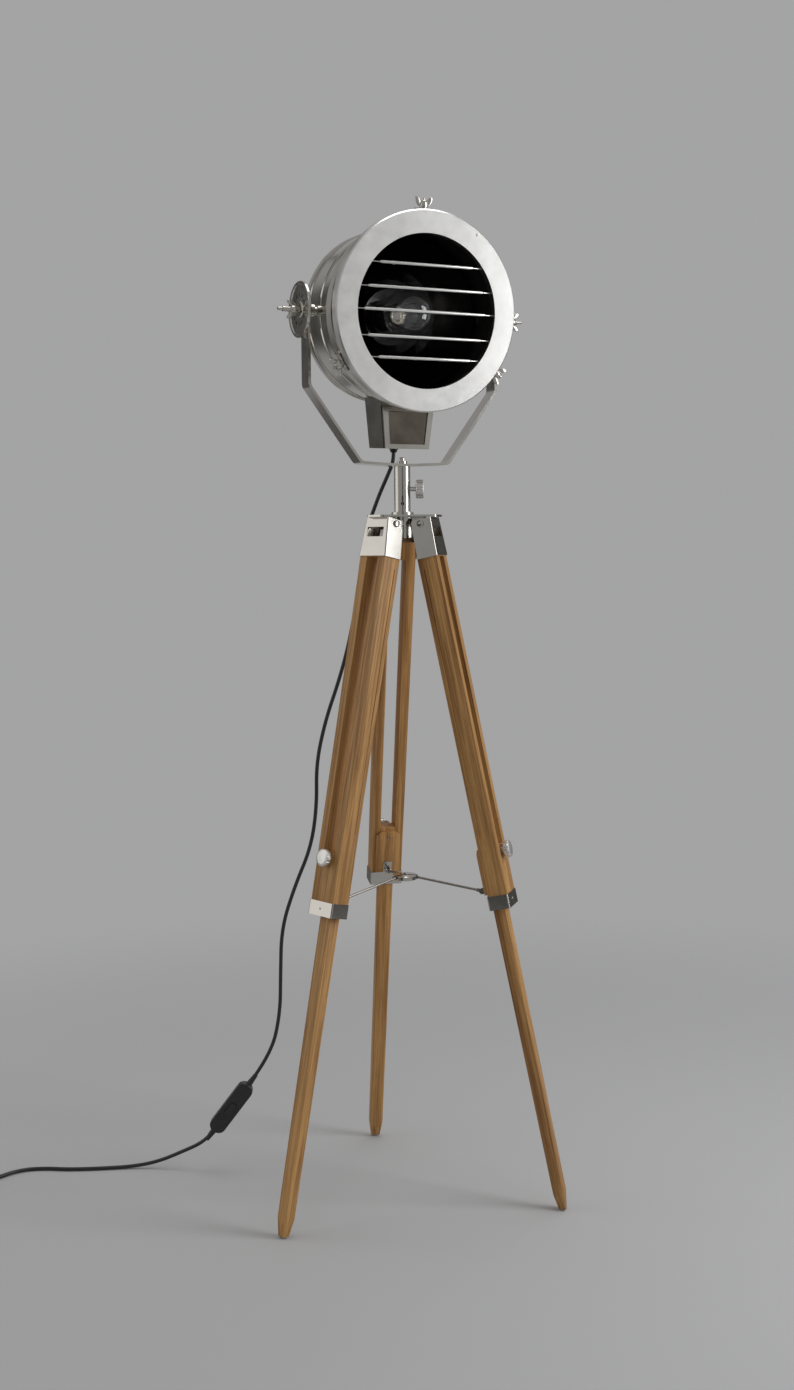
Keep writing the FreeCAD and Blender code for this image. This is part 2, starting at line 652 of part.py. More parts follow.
def reflector():
    """The spun bowl behind the bulb, held at its neck by the lampholder's shoulder."""
    steps = 6
    hole = HOLDER_NECK + 0.05
    outer = [(hole, BOWL_BACK_A)]
    inner = [(hole, BOWL_BACK_A + 1.2)]
    for number in range(steps + 1):
        share = number / steps
        radius = 30 + 82 * share
        outer.append((radius + 0.8, BOWL_BACK_A + 70 * share ** 2))
        inner.append((radius - 0.4, BOWL_BACK_A + 1.2 + 70 * share ** 2))
    return forward_turned(outer + inner[::-1])


def lampholder():
    """The lampholder on its stem, with its base against the drum's back."""
    back = DRUM_BACK_A - 29.4
    base_radius = 26.0
    wall_rise = 2.0 * base_radius / 59.8
    profile = [
        (0, back), (base_radius, back + wall_rise), (base_radius, back + 5), (HOLDER_NECK, back + 7),
        (HOLDER_NECK, BOWL_BACK_A + 1.2), (20.0, BOWL_BACK_A + 1.2), (20.0, -14.0), (15.2, -14.0),
        (15.2, HOLDER_FLOOR_A), (0, HOLDER_FLOOR_A),
    ]
    return forward_turned(profile)


def bulb():
    """The large clear globe with its screw cap."""
    centre_a = 30.0
    radius = 40.0
    steps = 12
    profile = [(0, HOLDER_FLOOR_A), (6.0, HOLDER_FLOOR_A), (13.0, -32.0), (13.0, -10.0), (14.0, -8.0)]
    start = math.acos(14.0 / radius)
    for number in range(1, steps + 1):
        angle = -start + (start + math.pi / 2) * number / steps
        profile.append((max(radius * math.cos(angle), 0.0), centre_a + radius * math.sin(angle)))
    profile[-1] = (0, centre_a + radius)
    return forward_turned(profile)


def radial(angle):
    """Places a shape made along +Z on the ring's edge at the given clock angle."""
    return Placement(Vector(0, 0, 0), Rotation(Vector(0, 1, 0), 90 - angle))


def clamp_bolt(angle):
    """A screw standing in a two-eared bracket on the band, to press the ring's edge home."""
    a = -(BAND_FRONT_A - 14)
    band = cylinder(BAND_RADIUS, Vector(0, a - 10, 0), Vector(0, 1, 0), 20)
    strip = box(-17, 17, a - 6.5, a + 6.5, BAND_RADIUS - 1.5, BAND_RADIUS + 1.9).cut(band)
    barrel = cylinder(3.6, Vector(-14.0, a, BAND_RADIUS + 5.2), Vector(1, 0, 0), 28.0)
    seat = cylinder(5.0, Vector(0, a, BAND_RADIUS + 5.2), Vector(0, 0, 1), 3.8)
    stem = cylinder(2.5, Vector(0, a, BAND_RADIUS + 4), Vector(0, 0, 1), 18.5)
    pieces = [barrel, seat, stem]
    for ear_x in (-13.0, 9.5):
        pieces.append(box(ear_x, ear_x + 3.5, a - 5, a + 5, BAND_RADIUS + 1, BAND_RADIUS + 8.0))
    bolt = strip.fuse(pieces).removeSplitter()
    bolt.Placement = radial(angle)
    return bolt


def wing_nut():
    """A wing nut made along +Z, seated on z = 0: a round boss and two raised wings."""
    boss = turned([(2.7, 0), (6.2, 0), (5.6, 9.0), (4.8, 10.5), (2.7, 10.5)])
    wings = []
    for side in (-1, 1):
        outline = [
            Vector(side * 4.5, -1.3, 1.0), Vector(side * 9.0, -1.3, 3.0), Vector(side * 14.5, -1.3, 12.0),
            Vector(side * 13.0, -1.3, 17.0), Vector(side * 9.5, -1.3, 17.0), Vector(side * 5.0, -1.3, 8.5),
        ]
        wing = prism(outline, Vector(0, 2.6, 0))
        wings.append(wing)
    nut = boss.fuse(wings)
    return nut.cut(cylinder(2.7, Vector(0, 0, -1), Vector(0, 0, 1), 30)).removeSplitter()


def clamp_nut(angle):
    nut = wing_nut()
    nut.Placement = Placement(Vector(0, -(BAND_FRONT_A - 14), BAND_RADIUS + CLAMP_NUT_LIFT), Rotation())
    nut.Placement = radial(angle).multiply(nut.Placement)
    return nut


def trunnion_stud(side):
    """A stud from the drum's wall through the yoke arm, with its inner collar and washer."""
    wall = DRUM_RADIUS
    end = 203.0 if side < 0 else 212.0
    collar_end = YOKE_HALF - YOKE_THICK / 2 - 0.4
    flange = wall - DRUM_SHEET - 0.3
    profile = [
        (0, wall - 5.0), (9.0, wall - 5.0), (9.0, flange), (STUD_RADIUS, flange),
        (STUD_RADIUS, wall), (8.0, wall), (8.0, wall + 9.0), (5.5, wall + 9.5), (5.5, wall + 14.0),
        (9.5, wall + 15.0), (9.5, collar_end), (STUD_RADIUS, collar_end),
        (STUD_RADIUS, end - 8), (2.6, end - 8), (2.6, end - 1.0), (1.6, end), (0, end),
    ]
    stud = turned(profile)
    stud.Placement = Placement(Vector(0, 0, 0), Rotation(Vector(0, 1, 0), 90 * side))
    return stud


def angle_dial():
    """The round graduated dial outside the left arm: a raised rim, a sunk face and short marks."""
    profile = [
        (STUD_RADIUS + 0.05, 0), (DIAL_RADIUS - 1, 0), (DIAL_RADIUS, 1.0), (DIAL_RADIUS, 4.2),
        (DIAL_RADIUS - 1.0, 5.0), (DIAL_RADIUS - 4.0, 5.0), (DIAL_RADIUS - 5.0, 3.6), (13.0, 3.6),
        (12.0, 5.0), (STUD_RADIUS + 0.05, 5.0),
    ]
    dial = turned(profile)
    marks = 24
    for number in range(marks):
        length = 7.0 if number % 6 == 0 else 4.0
        mark = box(DIAL_RADIUS - 6 - length, DIAL_RADIUS - 6, -0.35, 0.35, 3.2, 6.0)
        mark.Placement = rot_z(360.0 * number / marks)
        dial = dial.cut(mark)
    dial.Placement = Placement(Vector(DIAL_T, 0, 0), Rotation(Vector(0, 1, 0), -90))
    return dial


def trunnion_nut(side):
    nut = wing_nut()
    nut = nut.cut(cylinder(STUD_RADIUS + 0.1, Vector(0, 0, -1), Vector(0, 0, 1), 30))
    start = 172.0 if side < 0 else 190.0
    nut.Placement = Placement(Vector(side * start, 0, 0), Rotation(Vector(0, 1, 0), 90 * side))
    return nut


def box_front(z, out=0.0):
    """How far back the box's front face stands at a height, less a stand-off in front of it."""
    share = (BOX_TOP_Z - z) / (BOX_TOP_Z - BOX_LOW_Z)
    return -(BOX_TOP_FRONT + share * (BOX_LOW_FRONT - BOX_TOP_FRONT)) - out


def box_half(z):
    share = (BOX_TOP_Z - z) / (BOX_TOP_Z - BOX_LOW_Z)
    return BOX_TOP_HALF + share * (BOX_LOW_HALF - BOX_TOP_HALF)


def terminal_box():
    """The tapered housing under the drum, hollow and open to the front."""

    def level(half, front, back, z):
        corners = [
            Vector(-half, -front, z), Vector(half, -front, z),
            Vector(half, back, z), Vector(-half, back, z),
        ]
        return Part.makePolygon(corners + [corners[0]])

    def shell(inset):
        top_z = BOX_TOP_Z - inset
        low_z = BOX_LOW_Z + inset
        top = level(BOX_TOP_HALF - inset, BOX_TOP_FRONT - inset, BOX_TOP_BACK - inset, top_z)
        low = level(BOX_LOW_HALF - inset, BOX_LOW_FRONT - inset, BOX_LOW_BACK - inset, low_z)
        return Part.makeLoft([top, low], True, True)

    drum_space = cylinder(DRUM_RADIUS, Vector(0, -60, 0), Vector(0, 1, 0), 120)
    housing = shell(0.0).cut(drum_space)
    inner = shell(BOX_SHEET).cut(cylinder(DRUM_RADIUS + 0.4, Vector(0, -60, 0), Vector(0, 1, 0), 120))
    housing = housing.cut(inner)
    front_opening = box(-32, 32, -40, -20, BOX_LOW_Z + 8, WINDOW_TOP_Z + 2)
    housing = housing.cut(front_opening)
    gland_hole = cylinder(5.0, Vector(GLAND_T, GLAND_BACK, BOX_LOW_Z - 5), Vector(0, 0, 1), 12)
    return housing.cut(gland_hole)


def front_slab(top_z, low_z, top_half, low_half, out, thick):
    """A slab that leans with the box's front face, standing out from it."""
    top_front = box_front(top_z, out + thick)
    low_front = box_front(low_z, out + thick)
    outline = [
        Vector(-top_half, top_front, top_z), Vector(top_half, top_front, top_z),
        Vector(low_half, low_front, low_z), Vector(-low_half, low_front, low_z),
    ]
    return prism(outline, Vector(0, thick, 0))


def window_hole():
    return front_slab(WINDOW_TOP_Z, WINDOW_LOW_Z, WINDOW_TOP_HALF, WINDOW_LOW_HALF, -20.0, 60.0)


def window_frame():
    """The flat frame round the terminal box's front, on a narrower collar that stands it off the box."""
    collar_top_z = FRAME_TOP_Z - COLLAR_INSET
    collar_low_z = BOX_LOW_Z + COLLAR_INSET
    plate = front_slab(
        FRAME_TOP_Z, BOX_LOW_Z, box_half(FRAME_TOP_Z), BOX_LOW_HALF, FRAME_STAND_OFF, FRAME_THICK
    )
    collar = front_slab(
        collar_top_z, collar_low_z,
        box_half(collar_top_z) - COLLAR_INSET, box_half(collar_low_z) - COLLAR_INSET,
        0.0, FRAME_STAND_OFF,
    )
    return plate.fuse(collar).removeSplitter().cut(window_hole())


def window_pane():
    """The mirror pane set in the frame, behind its front face."""
    stand_off = FRAME_STAND_OFF - PANE_THICK / 2
    return front_slab(
        WINDOW_TOP_Z, WINDOW_LOW_Z, WINDOW_TOP_HALF, WINDOW_LOW_HALF, stand_off, PANE_THICK
    )


def cord_gland():
    """The bush that the cord comes out of, pushed into the box's floor."""
    wire_bore = 2.0
    profile = [
        (wire_bore, GLAND_LOW), (4.6, GLAND_LOW), (6.4, GLAND_LOW + 4.6), (7.5, GLAND_LOW + 5.0),
        (7.5, BOX_LOW_Z), (4.9, BOX_LOW_Z), (4.9, BOX_LOW_Z + 7), (wire_bore, BOX_LOW_Z + 7),
    ]
    gland = turned(profile)
    gland.Placement = Placement(Vector(GLAND_T, GLAND_BACK, 0), Rotation())
    return gland


# ---------------------------------------------------------------- cord


def rounded_path(points):
    """Straight runs joined by tangent arcs, each as large as its two runs allow."""
    edges = []
    radii = []
    here = points[0]
    length = 0.0
    for index in range(1, len(points) - 1):
        before = points[index].sub(points[index - 1])
        after = points[index + 1].sub(points[index])
        turn = before.getAngle(after)
        cut_back = 0.45 * min(before.Length, after.Length)
        radius = cut_back / math.tan(turn / 2)
        radii.append(radius)
        back = Vector(before).normalize()
        ahead = Vector(after).normalize()
        start = points[index].sub(Vector(back).multiply(cut_back))
        end = points[index].add(Vector(ahead).multiply(cut_back))
        bisector = ahead.sub(back).normalize()
        reach = radius / math.cos(turn / 2) - radius
        middle = points[index].add(Vector(bisector).multiply(reach))
        edges.append(Part.LineSegment(here, start).toShape())
        edges.append(Part.Arc(start, middle, end).toShape())
        here = end
    edges.append(Part.LineSegment(here, points[-1]).toShape())
    wire = Part.Wire(edges)
    return wire, radii, wire.Length


def cord_tube(name, points):
    """A round cord swept along its rounded path."""
    wire, radii, length = rounded_path(points)
    direction = points[1].sub(points[0])
    section = Part.Wire(Part.Circle(points[0], direction, CORD_DIAMETER / 2).toShape())
    solid = wire.makePipeShell([section], True, False)
    expected = math.pi * CORD_DIAMETER ** 2 / 4 * length
    runs = [after.sub(before).Length for before, after in zip(points, points[1:])]
    print(name, "length", round(length, 1), "least radius", round(min(radii), 1))
    print("   volume over section times length", round(solid.Volume / expected, 4))
    print("   radii", [round(radius) for radius in radii])
    print("   runs", [round(run, 1) for run in runs])
    return solid


def head_point(t, back, z):
    """A point in the head's own frame, put into the lamp's frame."""
    return head_placement(HEAD_PITCH).multVec(Vector(t, back, z))


GLAND_MOUTH = head_point(GLAND_T, GLAND_BACK, GLAND_LOW)
HEAD_STRETCH = [
    GLAND_MOUTH,
    head_point(GLAND_T, GLAND_BACK, GLAND_LOW - 13.0),
    Vector(-19.6, 22.6, 1158.4),
    Vector(-26.6, 23.0, 1143.0),
]
MAST_STRETCH = [
    HEAD_STRETCH[-1],
    Vector(-33.22, 23.38, 1128.44),
    Vector(-40.6, 24.3, 1110.0),
    Vector(-47.4, 25.6, 1092.0),
]
HANG_STRETCH = [
    MAST_STRETCH[-1],
    Vector(-57.27, 27.49, 1065.87),
    Vector(-66.0, 31.0, 1013.0),
    Vector(-74.0, 36.0, 952.0),
    Vector(-87.0, 42.0, 886.0),
    Vector(-104.0, 47.0, 826.0),
    Vector(-126.0, 52.0, 764.0),
    Vector(-142.5, 58.0, 692.0),
    Vector(-142.5, 63.0, 622.0),
    Vector(-153.0, 69.0, 553.0),
    Vector(-181.0, 73.0, 487.0),
    Vector(-204.0, 77.0, 416.0),
    Vector(-207.0, 82.0, 338.0),
    Vector(-209.0, 86.0, 270.0),
    Vector(-225.0, 89.0, 200.0),
    Vector(-263.2, 91.0, 148.5),
]
SWITCH_START = HANG_STRETCH[-1]
SWITCH_END = Vector(-323.5, 94.0, 68.7)
FLOOR_STRETCH = [
    SWITCH_END,
    Vector(-337.95, 94.72, 49.57),
    Vector(-376.0, 98.0, 31.0),
    Vector(-420.0, 102.0, 11.5),
    Vector(-463.0, 103.0, 3.0),
    Vector(-513.0, 96.0, 3.0),
    Vector(-566.0, 92.0, 3.0),
    Vector(-614.0, 98.0, 3.0),
    Vector(-651.0, 90.0, 3.0),
    Vector(-681.0, 58.0, 3.0),
    Vector(-704.0, 26.0, 3.0),
]


def coil_points(centre, start_angle):
    """Quarter-turn stations of a flat spiral in, a climb of one layer and the spiral out again."""
    step = COIL_STEP / 4
    widest = COIL_MEAN_RADIUS + step * COIL_QUARTERS_IN / 2
    tightest = widest - step * COIL_QUARTERS_IN
    stations = [(number, widest - step * number, 0.0) for number in range(COIL_QUARTERS_IN + 1)]
    stations.append((COIL_QUARTERS_IN + 1, tightest, COIL_LAYER / 2))
    climbed = COIL_QUARTERS_IN + 2
    for number in range(COIL_QUARTERS_OUT + 1):
        stations.append((climbed + number, tightest + step * number, COIL_LAYER))
    points = []
    for quarter, radius, height in stations:
        turn = math.radians(start_angle + COIL_SENSE * 90 * quarter)
        x = centre.x + radius * math.cos(turn)
        y = centre.y + radius * math.sin(turn)
        points.append(Vector(x, y, FLOOR_Z + height))
    return points


def coil_wire(start, way):
    """The coil's path: a straight lead in, arcs through the spiral's stations and a straight lead out."""
    lead = CORD_DIAMETER
    widest = COIL_MEAN_RADIUS + COIL_STEP * COIL_QUARTERS_IN / 8
    first = start.add(Vector(way).multiply(lead))
    side = Vector(-way.y * COIL_SENSE, way.x * COIL_SENSE, 0)
    centre = first.add(side.multiply(widest))
    stations = coil_points(centre, math.degrees(math.atan2(first.y - centre.y, first.x - centre.x)))
    tangents = []
    for index, point in enumerate(stations):
        out = point.sub(Vector(centre.x, centre.y, point.z))
        level = Vector(-out.y * COIL_SENSE, out.x * COIL_SENSE, 0).normalize()
        before = stations[max(index - 1, 0)]
        after = stations[min(index + 1, len(stations) - 1)]
        run = after.sub(before)
        rise = run.z / math.hypot(run.x, run.y) if before.z < point.z < after.z else 0.0
        tangents.append(Vector(level.x, level.y, rise).normalize())
    edges = [Part.LineSegment(start, stations[0]).toShape()]
    for index in range(len(stations) - 1):
        edges += biarc(stations[index], tangents[index], stations[index + 1], tangents[index + 1])
    finish = stations[-1].add(Vector(tangents[-1]).multiply(lead))
    edges.append(Part.LineSegment(stations[-1], finish).toShape())
    return Part.Wire(edges), finish, tangents[-1]


def biarc(first, first_way, last, last_way):
    """Two tangent arcs from one station to the next."""
    chord = last.sub(first)
    ways = first_way.add(last_way)
    dot = chord.dot(ways)
    scale = 2 * (1 - first_way.dot(last_way))
    if scale < 1e-9:
        reach = chord.Length / 2
    else:
        reach = (-dot + math.sqrt(dot ** 2 + scale * chord.dot(chord))) / scale
    join = first.add(last).add(Vector(first_way).sub(last_way).multiply(reach)).multiply(0.5)
    return [tangent_arc(first, first_way, join, 1), tangent_arc(last, last_way, join, -1)]


def tangent_arc(end, way, join, sense):
    """An arc from its end, along its way there, to the join of a biarc."""
    chord = join.sub(end)
    facing = Vector(way).multiply(sense)
    half_turn = chord.getAngle(facing)
    side = facing.multiply(chord.dot(facing) / facing.dot(facing))
    out = chord.sub(side)
    if out.Length < 1e-9:
        edge = Part.LineSegment(end, join) if sense > 0 else Part.LineSegment(join, end)
        return edge.toShape()
    bow = Vector(chord).cross(out.cross(chord)).normalize()
    sag = chord.Length / 2 * math.tan(half_turn / 2)
    middle = end.add(join).multiply(0.5).sub(Vector(bow).multiply(sag if bow.dot(out) > 0 else -sag))
    arc = Part.Arc(end, middle, join) if sense > 0 else Part.Arc(join, middle, end)
    return arc.toShape()


def least_gap(wire, skip):
    """The least clear gap between turns of a wound tube, on points along its path."""
    points = wire.discretize(600)
    step = wire.Length / 599
    away = int(skip / step)
    least = 1e9
    for first in range(0, len(points), 2):
        for second in range(first + away, len(points), 2):
            least = min(least, points[first].distanceToPoint(points[second]))
    return least - CORD_DIAMETER


def switch_place():
    """Switch frame: x along the cord, z away from it, on the hanging stretch."""
    way = SWITCH_END.sub(SWITCH_START)
    middle = SWITCH_START.add(SWITCH_END).multiply(0.5)
    x_way = Vector(way).normalize()
    y_way = Vector(0, 1, 0)
    z_way = x_way.cross(y_way).normalize()
    y_way = z_way.cross(x_way)
    turn = Rotation(x_way, y_way, z_way, "XYZ")
    return Placement(middle, turn), way.Length / 2


def switch_body(half):
    """A rounded in-line switch housing with a sunk seat and a pivot pin for its rocker."""
    wide, thick = SWITCH_HALF_WIDE, SWITCH_HALF_THICK
    body = box(-half, half, -thick, thick, -wide, wide)
    body = fillet_where(body, wide - 1.0, lambda e: along(e, Vector(0, 1, 0)))
    body = body.makeFillet(2.5, [e for e in body.Edges if abs(abs(e.CenterOfMass.y) - thick) < 1e-6])
    seat = box(-SEAT_HALF_LONG, SEAT_HALF_LONG, -thick - 4, -3.0, -5.3, 5.3)
    pin = cylinder(ROCKER_PIN_RADIUS, Vector(0, ROCKER_PIN_Y, -6.3), Vector(0, 0, 1), 12.6)
    return body.cut(seat).fuse(pin).removeSplitter()


def switch_rocker():
    """The rocker: a shallow V with a hole for its pivot pin."""
    end = ROCKER_HALF_LONG
    outline = [
        Vector(-end, -4.6, -5.0), Vector(-end, -9.0, -5.0), Vector(0, -10.6, -5.0),
        Vector(end, -11.6, -5.0), Vector(end, -7.2, -5.0), Vector(3.0, -4.0, -5.0),
        Vector(-3.0, -4.0, -5.0),
    ]
    hole = cylinder(ROCKER_PIN_RADIUS + 0.1, Vector(0, ROCKER_PIN_Y, -8.0), Vector(0, 0, 1), 16.0)
    return prism(outline, Vector(0, 0, 10.0)).cut(hole)


def plug():
    """A flat moulded plug with its slender cord sleeve and two round pins, made along +X from the cord."""

    def section(x, half_y, half_z):
        corner = 0.45 * min(half_y, half_z)
        points = []
        for sign_y, sign_z in ((-1, -1), (1, -1), (1, 1), (-1, 1)):
            near_y = Vector(x, sign_y * half_y, sign_z * (half_z - corner))
            near_z = Vector(x, sign_y * (half_y - corner), sign_z * half_z)
            points += [near_y, near_z] if sign_y == sign_z else [near_z, near_y]
        return Part.makePolygon(points + [points[0]])

    stations = [
        (0, 3.6, 3.6), (18, 4.0, 3.6), (26, 4.8, 4.8), (31, 8.0, 6.0),
        (42, 17.5, 9.7), (62, 17.5, 9.7), (64, 16.5, 8.8),
    ]
    body = Part.makeLoft([section(*station) for station in stations], True, True)
    pins = []
    for side in (-1, 1):
        pins.append(cylinder(2.4, Vector(63, side * 9.5, 0), Vector(1, 0, 0), 20.0))
    return body.fuse(pins).removeSplitter()


# ---------------------------------------------------------------- making


def make_tripod():
    for name, azimuth in LEG_AZIMUTHS.items():
        place = leg_placement(azimuth)
        save(name + "_leg_cap", leg_cap(), place)
        save(name + "_upper_leg", upper_leg(), place)
        save(name + "_guide_plate", guide_plate(), place)
        save(name + "_leg_strap", leg_strap(), place)
        save(name + "_rod_bracket", rod_bracket(), place)
        save(name + "_leg_knob", leg_knob(), place)
        save(name + "_spreader_rod", spreader_rod(azimuth, place))
        leg = lower_leg(place)
        save(name + "_lower_leg", leg, place)
        save(name + "_foot_glide", foot_glide(azimuth, place))
    save("spreader_hub", spreader_hub())
    save("crown", crown())
    save("hinge_pins", [hinge_pin(azimuth) for azimuth in LEG_AZIMUTHS.values()])
    save("mast_tube", mast_tube())
    save("mast_knob", mast_knob())


def foot_glide(azimuth, place):
    """A small domed nail glide under the foot."""
    centre = (SLIDE_OUTER_X + SLIDE_INNER_X) / 2
    low = place.multVec(Vector(centre, 0, -1097.0))
    radius = math.hypot(low.x, low.y)
    glide = turned([(0, 0), (3.5, 0), (4.8, 0.8), (5.2, GLIDE_HEIGHT), (0, GLIDE_HEIGHT)])
    glide.Placement = rot_z(azimuth).multiply(Placement(Vector(radius, 0, 0), Rotation()))
    return glide


def make_head():
    level = head_placement()
    tilted = head_placement(HEAD_PITCH)
    save("yoke", yoke(), level)
    save("yoke_stem", yoke_stem())
    save("drum", drum(), tilted)
    save("rear_cap", rear_cap(), tilted)
    save("front_ring", front_ring(), tilted)
    save("louvre_blades", louvre_blades(), tilted)
    save("reflector", reflector(), tilted)
    save("lampholder", lampholder(), tilted)
    save("bulb", bulb(), tilted)
    save("clamp_bolts", [clamp_bolt(angle) for angle in CLAMP_ANGLES.values()], tilted)
    for name, angle in CLAMP_ANGLES.items():
        save(name + "_clamp_nut", clamp_nut(angle), tilted)
    save("trunnion_studs", [trunnion_stud(side) for side in (-1, 1)], tilted)
    save("angle_dial", angle_dial(), tilted)
    save("left_wing_nut", trunnion_nut(-1), tilted)
    save("right_wing_nut", trunnion_nut(1), tilted)
    save("terminal_box", terminal_box(), tilted)
    save("window_frame", window_frame(), tilted)
    save("window_pane", window_pane(), tilted)
    save("cord_gland", cord_gland(), tilted)


def make_cord():
    save("cord_head_stretch", cord_tube("cord_head_stretch", HEAD_STRETCH), on_cord=True)
    save("cord_mast_stretch", cord_tube("cord_mast_stretch", MAST_STRETCH), on_cord=True)
    runs = [cord_tube("cord hanging", HANG_STRETCH), cord_tube("cord to floor", FLOOR_STRETCH)]
    save("cord_run", runs, on_cord=True)
    place, half = switch_place()
    save("switch_body", switch_body(half), place, on_cord=True)
    save("switch_rocker", switch_rocker(), place, on_cord=True)
    start = FLOOR_STRETCH[-1]
    way = start.sub(FLOOR_STRETCH[-2]).normalize()
    wire, finish, finish_way = coil_wire(start, way)
    section = Part.Wire(Part.Circle(start, way, CORD_DIAMETER / 2).toShape())
    coil = wire.makePipeShell([section], True, False)
    expected = math.pi * CORD_DIAMETER ** 2 / 4 * wire.Length
    print("coil length", round(wire.Length, 1), "least gap", round(least_gap(wire, 40.0), 2))
    print("   volume over section times length", round(coil.Volume / expected, 4))
    save("cord_coil", coil, on_cord=True)
    turn = Rotation(Vector(1, 0, 0), finish_way)
    save("plug", plug(), Placement(finish, turn), on_cord=True)


os.makedirs("parts", exist_ok=True)
make_tripod()
make_head()
make_cord()


def faceted_box(shapes):
    """The box round the shapes' facets: lowest and highest corner."""
    corners = []
    for shape in shapes:
        corners += shape.tessellate(0.2)[0]
    low = [round(min(corner[axis] for corner in corners), 3) for axis in range(3)]
    high = [round(max(corner[axis] for corner in corners), 3) for axis in range(3)]
    return low, high


lamp_low, lamp_high = faceted_box(made)
print("lamp box", lamp_low, lamp_high)
print("lamp centre", [round((lamp_low[axis] + lamp_high[axis]) / 2, 3) for axis in range(2)])
print("cord box", faceted_box(cord_made))
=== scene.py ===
"""Tripod searchlight floor lamp: finishes and fine pieces round its fixed frame, in metres."""

import math

import bpy
from bpy.props import FloatProperty, FloatVectorProperty, IntProperty, PointerProperty
from mathutils import Matrix, Vector


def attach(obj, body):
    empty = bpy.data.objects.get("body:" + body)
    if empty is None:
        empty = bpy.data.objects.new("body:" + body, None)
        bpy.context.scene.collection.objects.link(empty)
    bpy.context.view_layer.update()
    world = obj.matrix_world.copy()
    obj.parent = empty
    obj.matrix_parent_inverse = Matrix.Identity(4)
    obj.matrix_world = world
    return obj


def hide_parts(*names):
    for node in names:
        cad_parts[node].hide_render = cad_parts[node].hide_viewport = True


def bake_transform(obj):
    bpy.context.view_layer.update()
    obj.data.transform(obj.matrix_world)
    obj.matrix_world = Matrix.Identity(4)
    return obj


bl_info = {
    "name": "Tripod Searchlight Lamp",
    "version": (1, 0, 0),
    "blender": (4, 5, 0),
    "location": "View3D > Sidebar > Lamp",
    "description": "Dresses the lamp's frame with its metal, wood, glass and cord",
    "category": "Object",
}

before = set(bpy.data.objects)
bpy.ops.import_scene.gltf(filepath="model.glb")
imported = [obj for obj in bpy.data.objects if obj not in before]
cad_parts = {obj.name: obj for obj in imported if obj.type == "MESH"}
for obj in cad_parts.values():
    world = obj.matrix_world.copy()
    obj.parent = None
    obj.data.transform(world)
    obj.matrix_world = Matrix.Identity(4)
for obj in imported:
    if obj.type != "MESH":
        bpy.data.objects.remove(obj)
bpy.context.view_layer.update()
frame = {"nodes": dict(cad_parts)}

# ---------------------------------------------------------------- places, in metres

AXIS = Vector((-0.026935, -0.03624, 0.0))
LEG_AZIMUTHS = {"left": -137.26, "right": -17.26, "back": 102.74}
HINGE_RADIUS = 0.0366
HINGE_HEIGHT = 1.075
FOOT_RADIUS = 0.262
SPLAY = math.atan2(FOOT_RADIUS - HINGE_RADIUS, HINGE_HEIGHT)
TRUNNION_HEIGHT = 1.395
HEAD_YAW = math.radians(25.0)
HEAD_PITCH = math.radians(4.0)
LEG_DEPTH = 0.031
STRAP_SHEET = 0.0016
STRAP_SCREW_DOWN = 0.598
PLATE_SCREW_IN = LEG_DEPTH / 2 + 0.006 - 0.0008
PLATE_SCREW_DOWN = 0.526

# The head, from its own axes: the drum's axis runs forward through the trunnions
RING_FACE = 0.095
RING_OPENING = 0.1135
BAND_RADIUS = 0.143
CLAMP_FORWARD = 0.072
CLAMP_NUT_LIFT = 0.0092
CLAMP_ANGLES = {"top": 90.0, "left": 212.0, "right": -33.0}
LEFT_NUT_OUT = 0.172
RIGHT_NUT_OUT = 0.190
LOUVRE_HEIGHTS = (0.068, 0.033, 0.0, -0.038, -0.069)
BLADE_FRONT = RING_FACE - 0.0042
RING_SCREW_RADIUS = 0.1406
RING_SCREW_ANGLE = math.radians(55.8)
DIAL_OUT = 0.1645
DIAL_FACE_THICK = 0.0036
DIAL_FIGURES = 12
DIAL_FIGURE_SIZE = 0.0075
DIAL_FIGURE_RADIUS = 0.0215
DRUM_BEADS = (-0.054, -0.008, 0.025)
# Outline of the black sheet that paints the shade inside the drum and on the ring's inner return, as
# (radius, forward) stations
LINING_OUTLINE = [
    (0.0270, -0.0899), (0.0595, -0.0889), (0.1030, -0.0838), (0.1231, -0.0769),
    (0.1255, -0.0737), (0.1255, -0.0553), (0.1290, -0.0548), (0.1290, 0.0620),
    (0.1404, 0.0658), (0.1404, 0.0855),
]
LINING_SKIN = 0.0004
GLOBE_FORWARD = 0.030
GLOBE_NECK_RADIUS = 0.0134
GLOBE_WALL = 0.0007
CAP_THREAD_TURNS = 6
CAP_THREAD_PITCH = 0.0030
FILAMENT_HALF_SPAN = 0.0125
FILAMENT_FORWARD = 0.036
FILAMENT_COILS = 16
FILAMENT_COIL_RADIUS = 0.0011

# The camera that took in the whole lamp
CAMERA_DISTANCE = 2.5113
CAMERA_HEIGHT = 1.0348
CAMERA_PITCH = 0.09032
CAMERA_PAN = -0.0042
CAMERA_ROLL = -0.00776
CAMERA_FOCAL_PIXELS = 1600.0
IMAGE_HEIGHT_PIXELS = 1390.0
SENSOR_HEIGHT = 36.0

# The studio: how far the floor runs, where it starts and ends its fade into the backdrop
FLOOR_RADIUS = 14.0
FADE_START = 0.55
FADE_END = 2.1
WORLD_LIGHT = 0.95

# Each light's name, place, width and height, watts and colour
STUDIO_LIGHTS = (
    ("window", (1.95, -0.62, 1.5), (0.85, 1.9), 26.0, (0.97, 0.985, 1.0)),
    ("left", (-2.4, -0.25, 1.5), (2.0, 2.4), 10.5, (1.0, 0.98, 0.95)),
    ("top", (0.3, 0.2, 3.4), (1.6, 1.6), 22.0, (1.0, 1.0, 1.0)),
)
